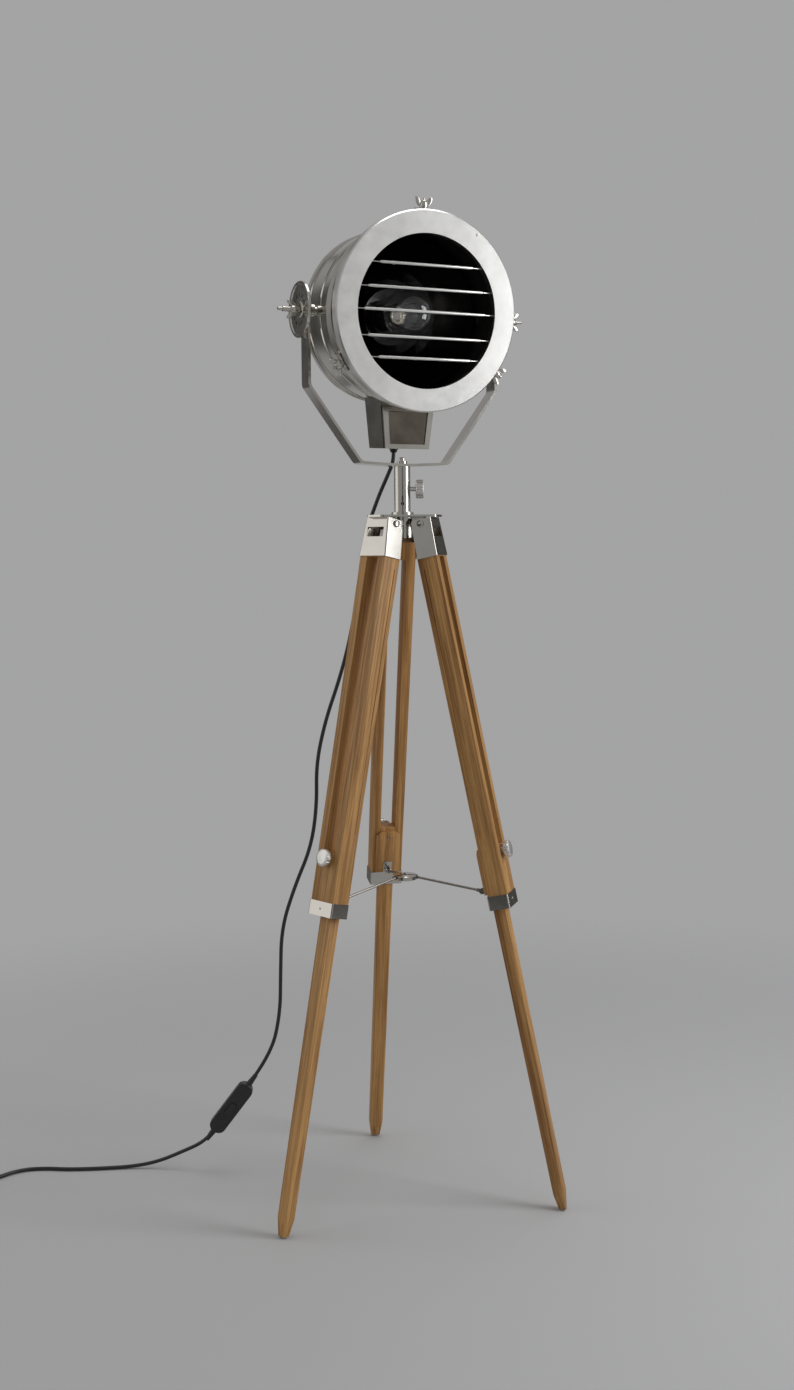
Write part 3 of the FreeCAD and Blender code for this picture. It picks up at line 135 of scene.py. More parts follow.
# Each dark card's name, place, width and height, turn in degrees and grey
DARK_CARDS = (
    ("card_front_left", (-1.05, -1.55, 0.5), (1.1, 1.0), -34.0, 0.03),
    ("card_right_low", (1.75, -0.12, 0.3), (1.2, 0.6), 90.0, 0.03),
    ("card_front", (0.35, -3.4, 0.75), (0.8, 1.3), 0.0, 0.05),
    ("card_back_left", (-1.6, 1.3, 1.6), (0.35, 2.6), 51.0, 0.07),
    ("card_low_left", (-1.3, 1.0, 0.35), (1.9, 0.7), 51.0, 0.17),
    ("card_high_left", (-1.4, 0.9, 2.9), (1.9, 1.0), 51.0, 0.16),
    ("card_back_right", (1.2, 1.8, 0.75), (1.3, 1.6), -34.0, 0.11),
)

# Cord routes, from the tripod's axis
GLAND = (-0.003, 0.010, -0.209)
GLAND_BELOW = (-0.003, 0.010, -0.222)
HEAD_STRETCH = [(-0.0196, 0.0226, 1.1584), (-0.0266, 0.0230, 1.1430)]
MAST_STRETCH = [
    (-0.0266, 0.0230, 1.1430), (-0.03322, 0.02338, 1.12844),
    (-0.0406, 0.0243, 1.1100), (-0.0474, 0.0256, 1.0920),
]
HANG_STRETCH = [
    (-0.0474, 0.0256, 1.0920), (-0.05727, 0.02749, 1.06587), (-0.066, 0.031, 1.013), (-0.074, 0.036, 0.952),
    (-0.087, 0.042, 0.886), (-0.104, 0.047, 0.826), (-0.126, 0.052, 0.764), (-0.1425, 0.058, 0.692),
    (-0.1425, 0.063, 0.622), (-0.153, 0.069, 0.553), (-0.181, 0.073, 0.487), (-0.204, 0.077, 0.416),
    (-0.207, 0.082, 0.338), (-0.209, 0.086, 0.270), (-0.225, 0.089, 0.200), (-0.2632, 0.091, 0.1485),
]
FLOOR_STRETCH = [
    (-0.3235, 0.094, 0.0687), (-0.33795, 0.09472, 0.04957), (-0.376, 0.098, 0.031), (-0.420, 0.102, 0.0115),
    (-0.463, 0.103, 0.003), (-0.513, 0.096, 0.003), (-0.566, 0.092, 0.003), (-0.614, 0.098, 0.003),
    (-0.651, 0.090, 0.003), (-0.681, 0.058, 0.003), (-0.704, 0.026, 0.003),
]
COIL_MEAN_RADIUS = 0.035
COIL_STEP = 0.008
COIL_LAYER = 0.0068
COIL_TURNS_IN = 2.0
COIL_TURNS_OUT = 1.5
COIL_SENSE = -1
COIL_STATIONS = 12
SLEEVE_LENGTH = 0.020
SLEEVE_WIDE = 0.0052
SLEEVE_NARROW = 0.0036
SLEEVE_BORE = 0.00305


def lamp(point):
    """A place measured from the tripod's axis, in the frame."""
    return AXIS + Vector(point)


def leg_matrix(azimuth):
    """Leg frame: x outwards, y round the tripod, z up along the leg, from the hinge pin."""
    lean = Matrix.Translation((HINGE_RADIUS, 0, HINGE_HEIGHT)) @ Matrix.Rotation(-SPLAY, 4, "Y")
    return Matrix.Translation(AXIS) @ Matrix.Rotation(math.radians(azimuth), 4, "Z") @ lean


def head_matrix(pitch=HEAD_PITCH):
    """Head frame: x along the trunnions, y backwards, z up, from the trunnion axis."""
    turn = Matrix.Rotation(HEAD_YAW, 4, "Z") @ Matrix.Rotation(pitch, 4, "X")
    return Matrix.Translation(AXIS + Vector((0, 0, TRUNNION_HEIGHT))) @ turn


def drum_matrix():
    """Drum frame: z forward along the drum's axis, y up, from the trunnion axis."""
    return head_matrix() @ Matrix.Rotation(math.radians(90), 4, "X")


def clock_matrix(angle):
    """Turns a piece made upwards to stand on the drum at a clock angle."""
    return head_matrix() @ Matrix.Rotation(math.radians(90 - angle), 4, "Y")


# ---------------------------------------------------------------- what a user would change


class LampSizes(bpy.types.PropertyGroup):
    cord_diameter: FloatProperty(
        name="Cord diameter", description="Outside diameter of the mains cord",
        default=0.006, min=0.003, max=0.01, unit="LENGTH",
    )
    bulb_radius: FloatProperty(
        name="Bulb radius", description="Radius of the clear globe",
        default=0.0398, min=0.02, max=0.0398, unit="LENGTH",
    )
    edge_softness: FloatProperty(
        name="Edge softness", description="Width of the eased edges of the wooden pieces",
        default=0.0009, min=0.0002, max=0.002, unit="LENGTH",
    )
    grain_scale: FloatProperty(
        name="Grain scale", description="Growth bands in a metre across a leg",
        default=150.0, min=10.0, max=400.0,
    )
    turned_sides: IntProperty(
        name="Turned sides", description="Segments round a large turned piece",
        default=96, min=24, max=192,
    )


def colour_property(name, description, default):
    return FloatVectorProperty(
        name=name, description=description, subtype="COLOR", default=default, min=0, max=1
    )


class LampColours(bpy.types.PropertyGroup):
    nickel: colour_property("Nickel", "Polished metal of the head and mast", (0.60, 0.575, 0.53))
    satin: colour_property("Satin metal", "Brushed metal of the ring and straps", (0.80, 0.79, 0.765))
    wood_light: colour_property("Light wood", "Earlywood of the legs", (0.53, 0.292, 0.104))
    wood_dark: colour_property("Dark wood", "Latewood of the legs", (0.27, 0.126, 0.038))
    cord: colour_property("Cord", "Sleeve of the cord and the switch", (0.012, 0.012, 0.013))
    floor: colour_property("Floor", "Studio floor and backdrop", (0.37, 0.37, 0.371))


# ---------------------------------------------------------------- small helpers


def deselect():
    if bpy.context.object and bpy.context.object.mode != "OBJECT":
        bpy.ops.object.mode_set(mode="OBJECT")
    bpy.ops.object.select_all(action="DESELECT")


def only(piece):
    deselect()
    piece.select_set(True)
    bpy.context.view_layer.objects.active = piece


def settle(piece, matrix=None):
    """Puts the piece in its place and leaves its object at the origin, unturned and unscaled."""
    only(piece)
    if matrix is not None:
        piece.matrix_world = matrix @ piece.matrix_world
    bpy.context.view_layer.update()
    bpy.ops.object.transform_apply(location=True, rotation=True, scale=True)
    return piece


def dress(piece, material):
    """Gives a piece, or a frame node, its material."""
    if not piece.material_slots:
        piece.data.materials.append(material)
    for slot in piece.material_slots:
        slot.material = material


def smooth(piece, degrees=35.0):
    only(piece)
    bpy.ops.object.shade_smooth_by_angle(angle=math.radians(degrees))


def apply_modifier(piece, kind, **values):
    only(piece)
    modifier = piece.modifiers.new(kind.lower(), kind)
    for key, value in values.items():
        setattr(modifier, key, value)
    bpy.ops.object.modifier_apply(modifier=modifier.name)


def turn_piece(profile, sides=48):
    """A closed turned piece: a ring drawn out along its axis through (radius, height) stations."""
    deselect()
    radius, height = profile[0]
    start_radius = max(radius, 1e-5)
    bpy.ops.mesh.primitive_circle_add(vertices=sides, radius=start_radius, location=(0, 0, height))
    piece = bpy.context.object
    bpy.ops.object.transform_apply(location=True, rotation=False, scale=False)
    bpy.ops.object.mode_set(mode="EDIT")
    bpy.ops.mesh.select_all(action="SELECT")
    here = start_radius
    for radius, station in profile[1:]:
        target = max(radius, 1e-5)
        bpy.ops.mesh.extrude_edges_move()
        share = target / here
        bpy.ops.transform.resize(value=(share, share, 1.0), center_override=(0, 0, height))
        bpy.ops.transform.translate(value=(0, 0, station - height))
        here = target
        height = station
    bpy.ops.mesh.select_all(action="SELECT")
    bpy.ops.mesh.remove_doubles(threshold=4e-6)
    bpy.ops.mesh.fill_holes(sides=sides + 1)
    bpy.ops.mesh.select_all(action="SELECT")
    bpy.ops.mesh.normals_make_consistent(inside=False)
    bpy.ops.object.mode_set(mode="OBJECT")
    return piece


def ring_piece(profile, sides=48):
    """A turned piece with a bore: its (radius, height) outline closes on itself."""
    return turn_piece(profile + [profile[0]], sides)


def rounded_block(size, bevel, segments=3):
    """A block with rounded edges, centred on its own origin."""
    deselect()
    bpy.ops.mesh.primitive_cube_add(size=1.0)
    piece = bpy.context.object
    piece.scale = size
    bpy.ops.object.transform_apply(location=False, rotation=False, scale=True)
    bpy.ops.object.mode_set(mode="EDIT")
    bpy.ops.mesh.select_all(action="SELECT")
    bpy.ops.mesh.bevel(offset=bevel, segments=segments, affect="EDGES")
    bpy.ops.object.mode_set(mode="OBJECT")
    return piece


def joined(pieces):
    """One piece from several, in the place of the first."""
    deselect()
    for piece in pieces:
        piece.select_set(True)
    bpy.context.view_layer.objects.active = pieces[0]
    bpy.ops.object.join()
    return bpy.context.object


def copy_of(piece):
    """A copy with its own mesh."""
    twin = bpy.data.objects.new(piece.name, piece.data.copy())
    bpy.context.scene.collection.objects.link(twin)
    return twin


def eased_copy(node_name, name, width, segments=2):
    """A frame node's shape with eased edges, to stand for it."""
    source = frame["nodes"][node_name]
    piece = bpy.data.objects.new(name, source.data.copy())
    bpy.context.scene.collection.objects.link(piece)
    only(piece)
    bpy.ops.object.mode_set(mode="EDIT")
    bpy.ops.mesh.select_all(action="SELECT")
    bpy.ops.mesh.remove_doubles(threshold=2e-6)
    bpy.ops.mesh.dissolve_limited(angle_limit=math.radians(0.5))
    bpy.ops.object.mode_set(mode="OBJECT")
    apply_modifier(
        piece, "BEVEL", width=width, segments=segments, limit_method="ANGLE",
        angle_limit=math.radians(40), use_clamp_overlap=True,
    )
    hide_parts(node_name)
    return piece


def finish_piece(piece, name, body, material, matrix=None, degrees=35.0):
    piece.name = name
    settle(piece, matrix)
    dress(piece, material)
    smooth(piece, degrees)
    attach(piece, body)
    return piece


# ---------------------------------------------------------------- materials


class Nodes:
    """Short calls for a material's node tree."""

    def __init__(self, name):
        self.material = bpy.data.materials.new(name)
        self.material.use_nodes = True
        self.tree = self.material.node_tree
        self.shader = self.tree.nodes["Principled BSDF"]

    def add(self, kind, **values):
        node = self.tree.nodes.new(kind)
        for key, value in values.items():
            if hasattr(node, key):
                setattr(node, key, value)
        return node

    def link(self, source, target):
        self.tree.links.new(source, target)

    def object_coordinates(self, matrix=None, scale=(1, 1, 1)):
        """Object coordinates, turned into a piece's own frame and scaled."""
        source = self.add("ShaderNodeTexCoord").outputs["Object"]
        if matrix is not None:
            centre = self.add("ShaderNodeMapping", vector_type="TEXTURE")
            centre.inputs["Location"].default_value = matrix.to_translation()
            centre.inputs["Rotation"].default_value = matrix.to_euler("XYZ")
            self.link(source, centre.inputs["Vector"])
            source = centre.outputs["Vector"]
        stretch = self.add("ShaderNodeMapping", vector_type="POINT")
        stretch.inputs["Scale"].default_value = scale
        self.link(source, stretch.inputs["Vector"])
        return stretch.outputs["Vector"]

    def noise(self, vector, scale, detail=4.0, roughness=0.55, distortion=0.0):
        node = self.add("ShaderNodeTexNoise")
        node.inputs["Scale"].default_value = scale
        node.inputs["Detail"].default_value = detail
        node.inputs["Roughness"].default_value = roughness
        node.inputs["Distortion"].default_value = distortion
        self.link(vector, node.inputs["Vector"])
        return node.outputs["Fac"]

    def ramp(self, source, stops):
        node = self.add("ShaderNodeValToRGB")
        elements = node.color_ramp.elements
        while len(elements) < len(stops):
            elements.new(0.5)
        for element, (position, colour) in zip(elements, stops):
            element.position = position
            element.color = tuple(colour) + (1.0,) if len(colour) == 3 else tuple(colour)
        self.link(source, node.inputs["Fac"])
        return node.outputs["Color"]

    def span(self, source, low, high):
        """Maps 0..1 to low..high."""
        node = self.add("ShaderNodeMapRange")
        node.inputs["To Min"].default_value = low
        node.inputs["To Max"].default_value = high
        self.link(source, node.inputs["Value"])
        return node.outputs["Result"]

    def mix(self, factor, first, second, blend="MIX"):
        node = self.add("ShaderNodeMix", data_type="RGBA", blend_type=blend)
        for index, value in ((0, factor), (6, first), (7, second)):
            if isinstance(value, bpy.types.NodeSocket):
                self.link(value, node.inputs[index])
            else:
                node.inputs[index].default_value = value
        return node.outputs[2]

    def maths(self, operation, first, second=None):
        node = self.add("ShaderNodeMath", operation=operation)
        for index, value in ((0, first), (1, second)):
            if value is None:
                continue
            if isinstance(value, bpy.types.NodeSocket):
                self.link(value, node.inputs[index])
            else:
                node.inputs[index].default_value = value
        return node.outputs[0]

    def bump(self, height, strength, distance=0.0005):
        node = self.add("ShaderNodeBump")
        node.inputs["Strength"].default_value = strength
        node.inputs["Distance"].default_value = distance
        self.link(height, node.inputs["Height"])
        self.link(node.outputs["Normal"], self.shader.inputs["Normal"])


def colour4(colour):
    return tuple(colour) + (1.0,)


def polished_metal(name, colour, rough_low=0.07, rough_high=0.2, darker=0.82):
    """Plated metal with faint smears and a slightly uneven surface."""
    nodes = Nodes(name)
    vector = nodes.object_coordinates()
    smear = nodes.noise(vector, 26.0, 5.0, 0.6, 0.4)
    fine = nodes.noise(vector, 420.0, 3.0, 0.6)
    shade = tuple(channel * darker for channel in colour)
    tint = nodes.mix(nodes.span(smear, 0.0, 1.0), colour4(shade), colour4(colour))
    nodes.link(tint, nodes.shader.inputs["Base Color"])
    nodes.shader.inputs["Metallic"].default_value = 1.0
    rough = nodes.maths("ADD", nodes.span(smear, rough_low, rough_high), nodes.span(fine, 0.0, 0.05))
    nodes.link(rough, nodes.shader.inputs["Roughness"])
    nodes.bump(fine, 0.03, 0.0001)
    return nodes.material


def brushed_metal(name, colour, matrix=None, stretch=(1, 1, 1), rough=(0.24, 0.36)):
    """Satin metal with fine lines along one way of the piece."""
    nodes = Nodes(name)
    lines = nodes.noise(nodes.object_coordinates(matrix, stretch), 60.0, 6.0, 0.7)
    blotch = nodes.noise(nodes.object_coordinates(), 14.0, 3.0, 0.5)
    shade = tuple(channel * 0.84 for channel in colour)
    tint = nodes.mix(lines, colour4(shade), colour4(colour))
    nodes.link(tint, nodes.shader.inputs["Base Color"])
    nodes.shader.inputs["Metallic"].default_value = 1.0
    level = nodes.maths("ADD", nodes.span(lines, rough[0], rough[1]), nodes.span(blotch, -0.03, 0.05))
    nodes.link(level, nodes.shader.inputs["Roughness"])
    nodes.bump(lines, 0.015, 0.0001)
    return nodes.material


def wood(name, matrix, light, dark, grain):
    """Oiled oak: slow changes of tone, straight growth lines, and short open pores along the leg."""
    nodes = Nodes(name)
    flow = nodes.object_coordinates(matrix, (1.0, 1.0, 0.030))
    warp = nodes.noise(flow, grain * 0.16, 3.0, 0.5, 0.8)
    bands = nodes.noise(flow, grain, 7.0, 0.62, 0.7)
    lines = nodes.noise(nodes.object_coordinates(matrix, (1.0, 1.0, 0.010)), grain * 4.2, 3.0, 0.6, 0.2)
    fibre = nodes.noise(nodes.object_coordinates(matrix, (1.0, 1.0, 0.020)), grain * 11, 3.0, 0.7)
    mixed = nodes.maths("ADD", nodes.maths("MULTIPLY", bands, 0.66), nodes.maths("MULTIPLY", warp, 0.40))
    middle = tuple((a + b) / 2 for a, b in zip(light, dark))
    bright = tuple(channel * 1.18 for channel in light)
    colour = nodes.ramp(mixed, [(0.38, dark), (0.49, middle), (0.57, light), (0.72, bright)])
    streak = nodes.ramp(lines, [(0.36, (0.60, 0.53, 0.46)), (0.50, (1, 1, 1)), (0.68, (1.10, 1.08, 1.05))])
    pores = nodes.ramp(fibre, [(0.32, (0.46, 0.38, 0.31)), (0.42, (1, 1, 1))])
    colour = nodes.mix(0.75, colour, streak, "MULTIPLY")
    colour = nodes.mix(0.70, colour, pores, "MULTIPLY")
    nodes.link(colour, nodes.shader.inputs["Base Color"])
    nodes.link(nodes.span(fibre, 0.40, 0.58), nodes.shader.inputs["Roughness"])
    nodes.shader.inputs["Specular IOR Level"].default_value = 0.35
    nodes.bump(nodes.maths("ADD", fibre, nodes.maths("MULTIPLY", lines, 0.6)), 0.28, 0.0004)
    return nodes.material


def black_plastic(name, colour, rough=(0.22, 0.36), grain=900.0, strength=0.12):
    nodes = Nodes(name)
    vector = nodes.object_coordinates()
    fine = nodes.noise(vector, grain, 3.0, 0.6)
    wear = nodes.noise(vector, 38.0, 4.0, 0.6)
    tint = nodes.mix(wear, colour4(colour), colour4(tuple(channel * 1.9 + 0.004 for channel in colour)))
    nodes.link(tint, nodes.shader.inputs["Base Color"])
    nodes.link(nodes.span(wear, rough[0], rough[1]), nodes.shader.inputs["Roughness"])
    nodes.bump(fine, strength, 0.0002)
    return nodes.material


def clear_glass(name):
    nodes = Nodes(name)
    vector = nodes.object_coordinates()
    dust = nodes.noise(vector, 60.0, 4.0, 0.6)
    nodes.shader.inputs["Base Color"].default_value = (0.97, 0.98, 0.99, 1.0)
    nodes.shader.inputs["Transmission Weight"].default_value = 1.0
    nodes.shader.inputs["IOR"].default_value = 1.46
    nodes.link(nodes.span(dust, 0.0, 0.008), nodes.shader.inputs["Roughness"])
    return nodes.material


def inner_black(name):
    nodes = Nodes(name)
    vector = nodes.object_coordinates()
    dust = nodes.noise(vector, 90.0, 5.0, 0.6)
    tint = nodes.mix(dust, (0.012, 0.011, 0.010, 1), (0.030, 0.028, 0.026, 1))
    nodes.link(tint, nodes.shader.inputs["Base Color"])
    nodes.link(nodes.span(dust, 0.45, 0.7), nodes.shader.inputs["Roughness"])
    nodes.bump(dust, 0.1, 0.0003)
    return nodes.material


# ---------------------------------------------------------------- operators


class LAMP_OT_camera(bpy.types.Operator):
    """Places the camera at the photograph's height, distance and angle"""

    bl_idname = "lamp.camera"
    bl_label = "Camera"

    def execute(self, context):
        data = bpy.data.cameras.new("view_camera")
        data.sensor_fit = "VERTICAL"
        data.sensor_height = SENSOR_HEIGHT
        data.lens = CAMERA_FOCAL_PIXELS * SENSOR_HEIGHT / IMAGE_HEIGHT_PIXELS
        data.clip_end = 60.0
        camera = bpy.data.objects.new("view_camera", data)
        context.scene.collection.objects.link(camera)
        ahead = Vector((
            math.sin(CAMERA_PAN) * math.cos(CAMERA_PITCH),
            math.cos(CAMERA_PAN) * math.cos(CAMERA_PITCH),
            -math.sin(CAMERA_PITCH),
        ))
        level_right = Vector((math.cos(CAMERA_PAN), -math.sin(CAMERA_PAN), 0))
        level_up = level_right.cross(ahead)
        right = level_right * math.cos(CAMERA_ROLL) + level_up * math.sin(CAMERA_ROLL)
        up = level_up * math.cos(CAMERA_ROLL) - level_right * math.sin(CAMERA_ROLL)
        place = lamp((0, -CAMERA_DISTANCE, CAMERA_HEIGHT))
        axes = Matrix((right, up, -ahead)).transposed().to_4x4()
        camera.matrix_world = Matrix.Translation(place) @ axes
        context.scene.camera = camera
        return {"FINISHED"}


def route_curve(name, points, diameter):
    """A smooth cord along given points."""
    data = bpy.data.curves.new(name, "CURVE")
    data.dimensions = "3D"
    spline = data.splines.new("NURBS")
    spline.points.add(len(points) - 1)
    for target, point in zip(spline.points, points):
        target.co = (point[0], point[1], point[2], 1.0)
    spline.order_u = 3
    spline.use_endpoint_u = True
    data.resolution_u = 8
    data.bevel_depth = 0.0
    data.use_fill_caps = True
    piece = bpy.data.objects.new(name, data)
    bpy.context.scene.collection.objects.link(piece)
    bpy.context.view_layer.update()
    graph = bpy.context.evaluated_depsgraph_get()
    line = bpy.data.meshes.new_from_object(piece.evaluated_get(graph))
    path = [vertex.co.copy() for vertex in line.vertices]
    bpy.data.meshes.remove(line)
    data.bevel_depth = diameter / 2
    data.bevel_resolution = 5
    length = sum((b - a).length for a, b in zip(path, path[1:]))
    return piece, path, length


def coil_points(start, way, diameter):
    """The put-away length: a flat spiral in, one layer up, and the spiral out again."""
    widest = COIL_MEAN_RADIUS + COIL_STEP * COIL_TURNS_IN / 2
    first = start + way * diameter
    centre = first + Vector((-way.y, way.x, 0)) * widest * COIL_SENSE
    begin = math.atan2(first.y - centre.y, first.x - centre.x)
    swell = 1.0 / math.cos(math.pi / COIL_STATIONS)
    turns_in = round(COIL_TURNS_IN * COIL_STATIONS)
    turns_out = round(COIL_TURNS_OUT * COIL_STATIONS)
    climb = COIL_STATIONS // 2
    points = []
    for number in range(turns_in + climb + turns_out + 1):
        angle = begin + COIL_SENSE * 2 * math.pi * number / COIL_STATIONS
        inward = min(number, turns_in)
        outward = max(number - turns_in - climb, 0)
        radius = swell * (widest - COIL_STEP * (inward - outward) / COIL_STATIONS)
        height = first.z + COIL_LAYER * min(max(number - turns_in, 0) / climb, 1.0)
        across, along = radius * math.cos(angle), radius * math.sin(angle)
        points.append(Vector((centre.x + across, centre.y + along, height)))
    away = Vector((-math.sin(angle), math.cos(angle), 0)) * COIL_SENSE
    points.append(points[-1] + away * diameter)
    return points


class LAMP_OT_cord(bpy.types.Operator):
    """Lays the cord over the head's joints, down beside the leg, by its switch and along the floor"""

    bl_idname = "lamp.cord"
    bl_label = "Cord"

    def execute(self, context):
        sizes = context.scene.lamp_sizes
        colours = context.scene.lamp_colours
        diameter = sizes.cord_diameter
        sleeve = black_plastic("cord_sleeve", colours.cord, (0.30, 0.44), 700.0, 0.18)
        mouth = [head_matrix() @ Vector(GLAND), head_matrix() @ Vector(GLAND_BELOW)]
        by_head = mouth + [lamp(p) for p in HEAD_STRETCH]
        by_mast = [lamp(p) for p in MAST_STRETCH]
        stretches = [
            ("cord_by_head", by_head, ("head", "yoke_body"), "cord_head_stretch"),
            ("cord_by_mast", by_mast, ("yoke_body", "stand"), "cord_mast_stretch"),
        ]
        for name, points, bodies, node in stretches:
            piece, path, length = route_curve(name, points, diameter)
            only(piece)
            bpy.ops.object.convert(target="MESH")
            piece = context.object
            dress(piece, sleeve)
            smooth(piece)
            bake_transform(piece)
            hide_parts(node)
        hanging, path, length = route_curve("cord_hanging", [lamp(p) for p in HANG_STRETCH], diameter)
        dress(hanging, sleeve)
        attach(hanging, "stand")
        floor_points = [lamp(p) for p in FLOOR_STRETCH]
        way = (floor_points[-1] - floor_points[-2]).normalized()
        points = floor_points + coil_points(floor_points[-1], way, diameter)
        lying, path, length = route_curve("cord_lying", points, diameter)
        dress(lying, sleeve)
        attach(lying, "stand")
        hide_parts("cord_run", "cord_coil")
        return {"FINISHED"}


class LAMP_OT_finishes(bpy.types.Operator):
    """Gives every frame piece its metal or plastic"""

    bl_idname = "lamp.finishes"
    bl_label = "Finishes"

    def execute(self, context):
        colours = context.scene.lamp_colours
        nodes = frame["nodes"]
        nickel = polished_metal("polished_nickel", colours.nickel)
        ring = brushed_metal("ring_satin", colours.satin, None, (1, 1, 1), (0.24, 0.34))
        straps = brushed_metal("strap_satin", colours.nickel, None, (1, 1, 14), (0.12, 0.2))
        black = black_plastic("switch_plastic", colours.cord)
        dark = inner_black("lampholder_black")
        # Painted shade: the polished reflector bowl gets a near-black colour, so it shows as dark as the
        # shaded inside of the drum.
        bowl = polished_metal("reflector_painted_dark", (0.035, 0.034, 0.033), 0.10, 0.2, 0.8)
        mirror = polished_metal("pane_mirror", (0.34, 0.295, 0.24), 0.02, 0.06, 0.16)
        dull = polished_metal("rod_steel", (0.34, 0.315, 0.285), 0.30, 0.44)
        bright = tuple(channel * 1.05 for channel in colours.satin)
        knob = brushed_metal("knob_satin", bright, None, (1, 1, 1), (0.34, 0.44))
        for name, node in nodes.items():
            dress(node, nickel)
        for side in LEG_AZIMUTHS:
            dress(nodes[side + "_leg_strap"], straps)
            dress(nodes[side + "_leg_knob"], knob)
            dress(nodes[side + "_spreader_rod"], dull)
        dress(nodes["mast_knob"], knob)
        dress(nodes["front_ring"], ring)
        dress(nodes["reflector"], bowl)
        dress(nodes["lampholder"], dark)
        dress(nodes["window_pane"], mirror)
        for name in ("cord_gland", "switch_body", "switch_rocker", "plug"):
            dress(nodes[name], black)
        return {"FINISHED"}


class LAMP_OT_wood(bpy.types.Operator):
    """Eases the edges of the rails, lower legs and guide plates, each with its own grain"""

    bl_idname = "lamp.wood"
    bl_label = "Wooden pieces"

    def execute(self, context):
        sizes = context.scene.lamp_sizes
        colours = context.scene.lamp_colours
        steel = polished_metal("screw_steel", (0.50, 0.49, 0.46), 0.16, 0.3)
        for number, (side, azimuth) in enumerate(LEG_AZIMUTHS.items()):
            matrix = leg_matrix(azimuth)
            parts = (
                ("_upper_leg", "_upper_leg_body"), ("_lower_leg", "_lower_leg_body"),
                ("_guide_plate", "_upper_leg_body"),
            )
            for place, (part, body) in enumerate(parts):
                shift = Matrix.Translation((0.31 * number, 0.17 * place, 0.5 * number + 0.23 * place))
                grain = wood(
                    side + part + "_wood", matrix @ shift, colours.wood_light, colours.wood_dark,
                    sizes.grain_scale,
                )
                piece = eased_copy(side + part, side + part + "_eased", sizes.edge_softness)
                finish_piece(piece, piece.name, side + body, grain)
            screws = (
                ("_plate_screw", 0.0021, 0.0011, -PLATE_SCREW_IN, -PLATE_SCREW_DOWN, -90),
                ("_strap_screw", 0.0019, 0.0007, LEG_DEPTH / 2 + STRAP_SHEET, -STRAP_SCREW_DOWN, 90),
            )
            for name, radius, height, out, up, turn in screws:
                screw = screw_head(radius, height)
                spot = matrix @ Matrix.Translation((out, 0, up))
                spot = spot @ Matrix.Rotation(math.radians(turn), 4, "Y")
                finish_piece(screw, side + name, side + "_upper_leg_body", steel, spot)
        return {"FINISHED"}


def screw_head(radius, height):
    """A slotted screw head made upwards, with its rounded rim."""
    head = turn_piece([
        (radius * 0.9, -height), (radius, -height * 0.8), (radius, height * 0.2),
        (radius * 0.82, height * 0.8), (radius * 0.45, height), (0, height * 1.05),
    ], 28)
    slot = rounded_block((radius * 3, radius * 0.28, height), radius * 0.02, 1)
    slot.location = (0, 0, height * 1.1)
    apply_modifier(head, "BOOLEAN", operation="DIFFERENCE", object=slot, solver="EXACT")
    bpy.data.objects.remove(slot, do_unlink=True)
    return head


class LAMP_OT_bulb(bpy.types.Operator):
    """Blows the clear globe and fits its screw cap, stem and filament"""

    bl_idname = "lamp.bulb"
    bl_label = "Bulb"

    def execute(self, context):
        radius = context.scene.lamp_sizes.bulb_radius
        sides = context.scene.lamp_sizes.turned_sides
        glass = clear_glass("bulb_glass")
        brass = polished_metal("cap_metal", (0.70, 0.64, 0.50), 0.12, 0.25)
        wire = polished_metal("filament_wire", (0.30, 0.29, 0.28), 0.2, 0.35)
        outline = [(0.0126, -0.0135), (GLOBE_NECK_RADIUS, -0.0105)]
        steps = 30
        start = -math.acos(GLOBE_NECK_RADIUS / radius)
        for number in range(steps + 1):
            angle = start + (math.pi / 2 - start) * number / steps
            outline.append((radius * math.cos(angle), GLOBE_FORWARD + radius * math.sin(angle)))
        inner = [(max(r - GLOBE_WALL, 0.0), a - (GLOBE_WALL if r < 0.002 else 0.0)) for r, a in outline]
        globe = turn_piece(outline + inner[::-1], sides)
        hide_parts("bulb")
        finish_piece(globe, "bulb_globe", "head", glass, drum_matrix(), 60.0)
        thread = [(0.0, -0.0355), (0.0045, -0.0355), (0.0050, -0.0335), (0.0105, -0.0320)]
        for number in range(CAP_THREAD_TURNS):
            low = -0.0312 + number * CAP_THREAD_PITCH
            thread += [(0.0119, low), (0.0128, low + 0.0010)]
            thread += [(0.0128, low + 0.0016), (0.0119, low + 0.0026)]
        thread += [(0.0130, -0.0128), (0.0130, -0.0118), (0.0, -0.0116)]
        cap = turn_piece(thread, 48)
        finish_piece(cap, "bulb_cap", "head", brass, drum_matrix())
        stem = turn_piece([
            (0.0, -0.0115), (0.0085, -0.0115), (0.0070, -0.0060), (0.0032, 0.0020),
            (0.0026, 0.0120), (0.0036, 0.0135), (0.0, 0.0150),
        ], 32)
        finish_piece(stem, "bulb_stem", "head", glass, drum_matrix())
        supports = [
            [(0, 0, 0.010), (side * 0.006, 0, 0.022), (side * FILAMENT_HALF_SPAN, 0, FILAMENT_FORWARD)]
            for side in (-1, 1)
        ]
        strand = []
        for number in range(FILAMENT_COILS * 6 + 1):
            share = number / (FILAMENT_COILS * 6)
            angle = 2 * math.pi * number / 6
            bow = 0.004 * math.sin(math.pi * share)
            strand.append((
                -FILAMENT_HALF_SPAN + 2 * FILAMENT_HALF_SPAN * share,
                FILAMENT_COIL_RADIUS * math.cos(angle),
                FILAMENT_FORWARD + FILAMENT_COIL_RADIUS * math.sin(angle) + bow,
            ))
        wires = (("bulb_supports", supports, 0.00035), ("bulb_filament", [strand], 0.0002))
        for name, lines, thickness in wires:
            piece = wire_piece(lines, thickness)
            finish_piece(piece, name, "head", wire, drum_matrix(), 60.0)
        return {"FINISHED"}


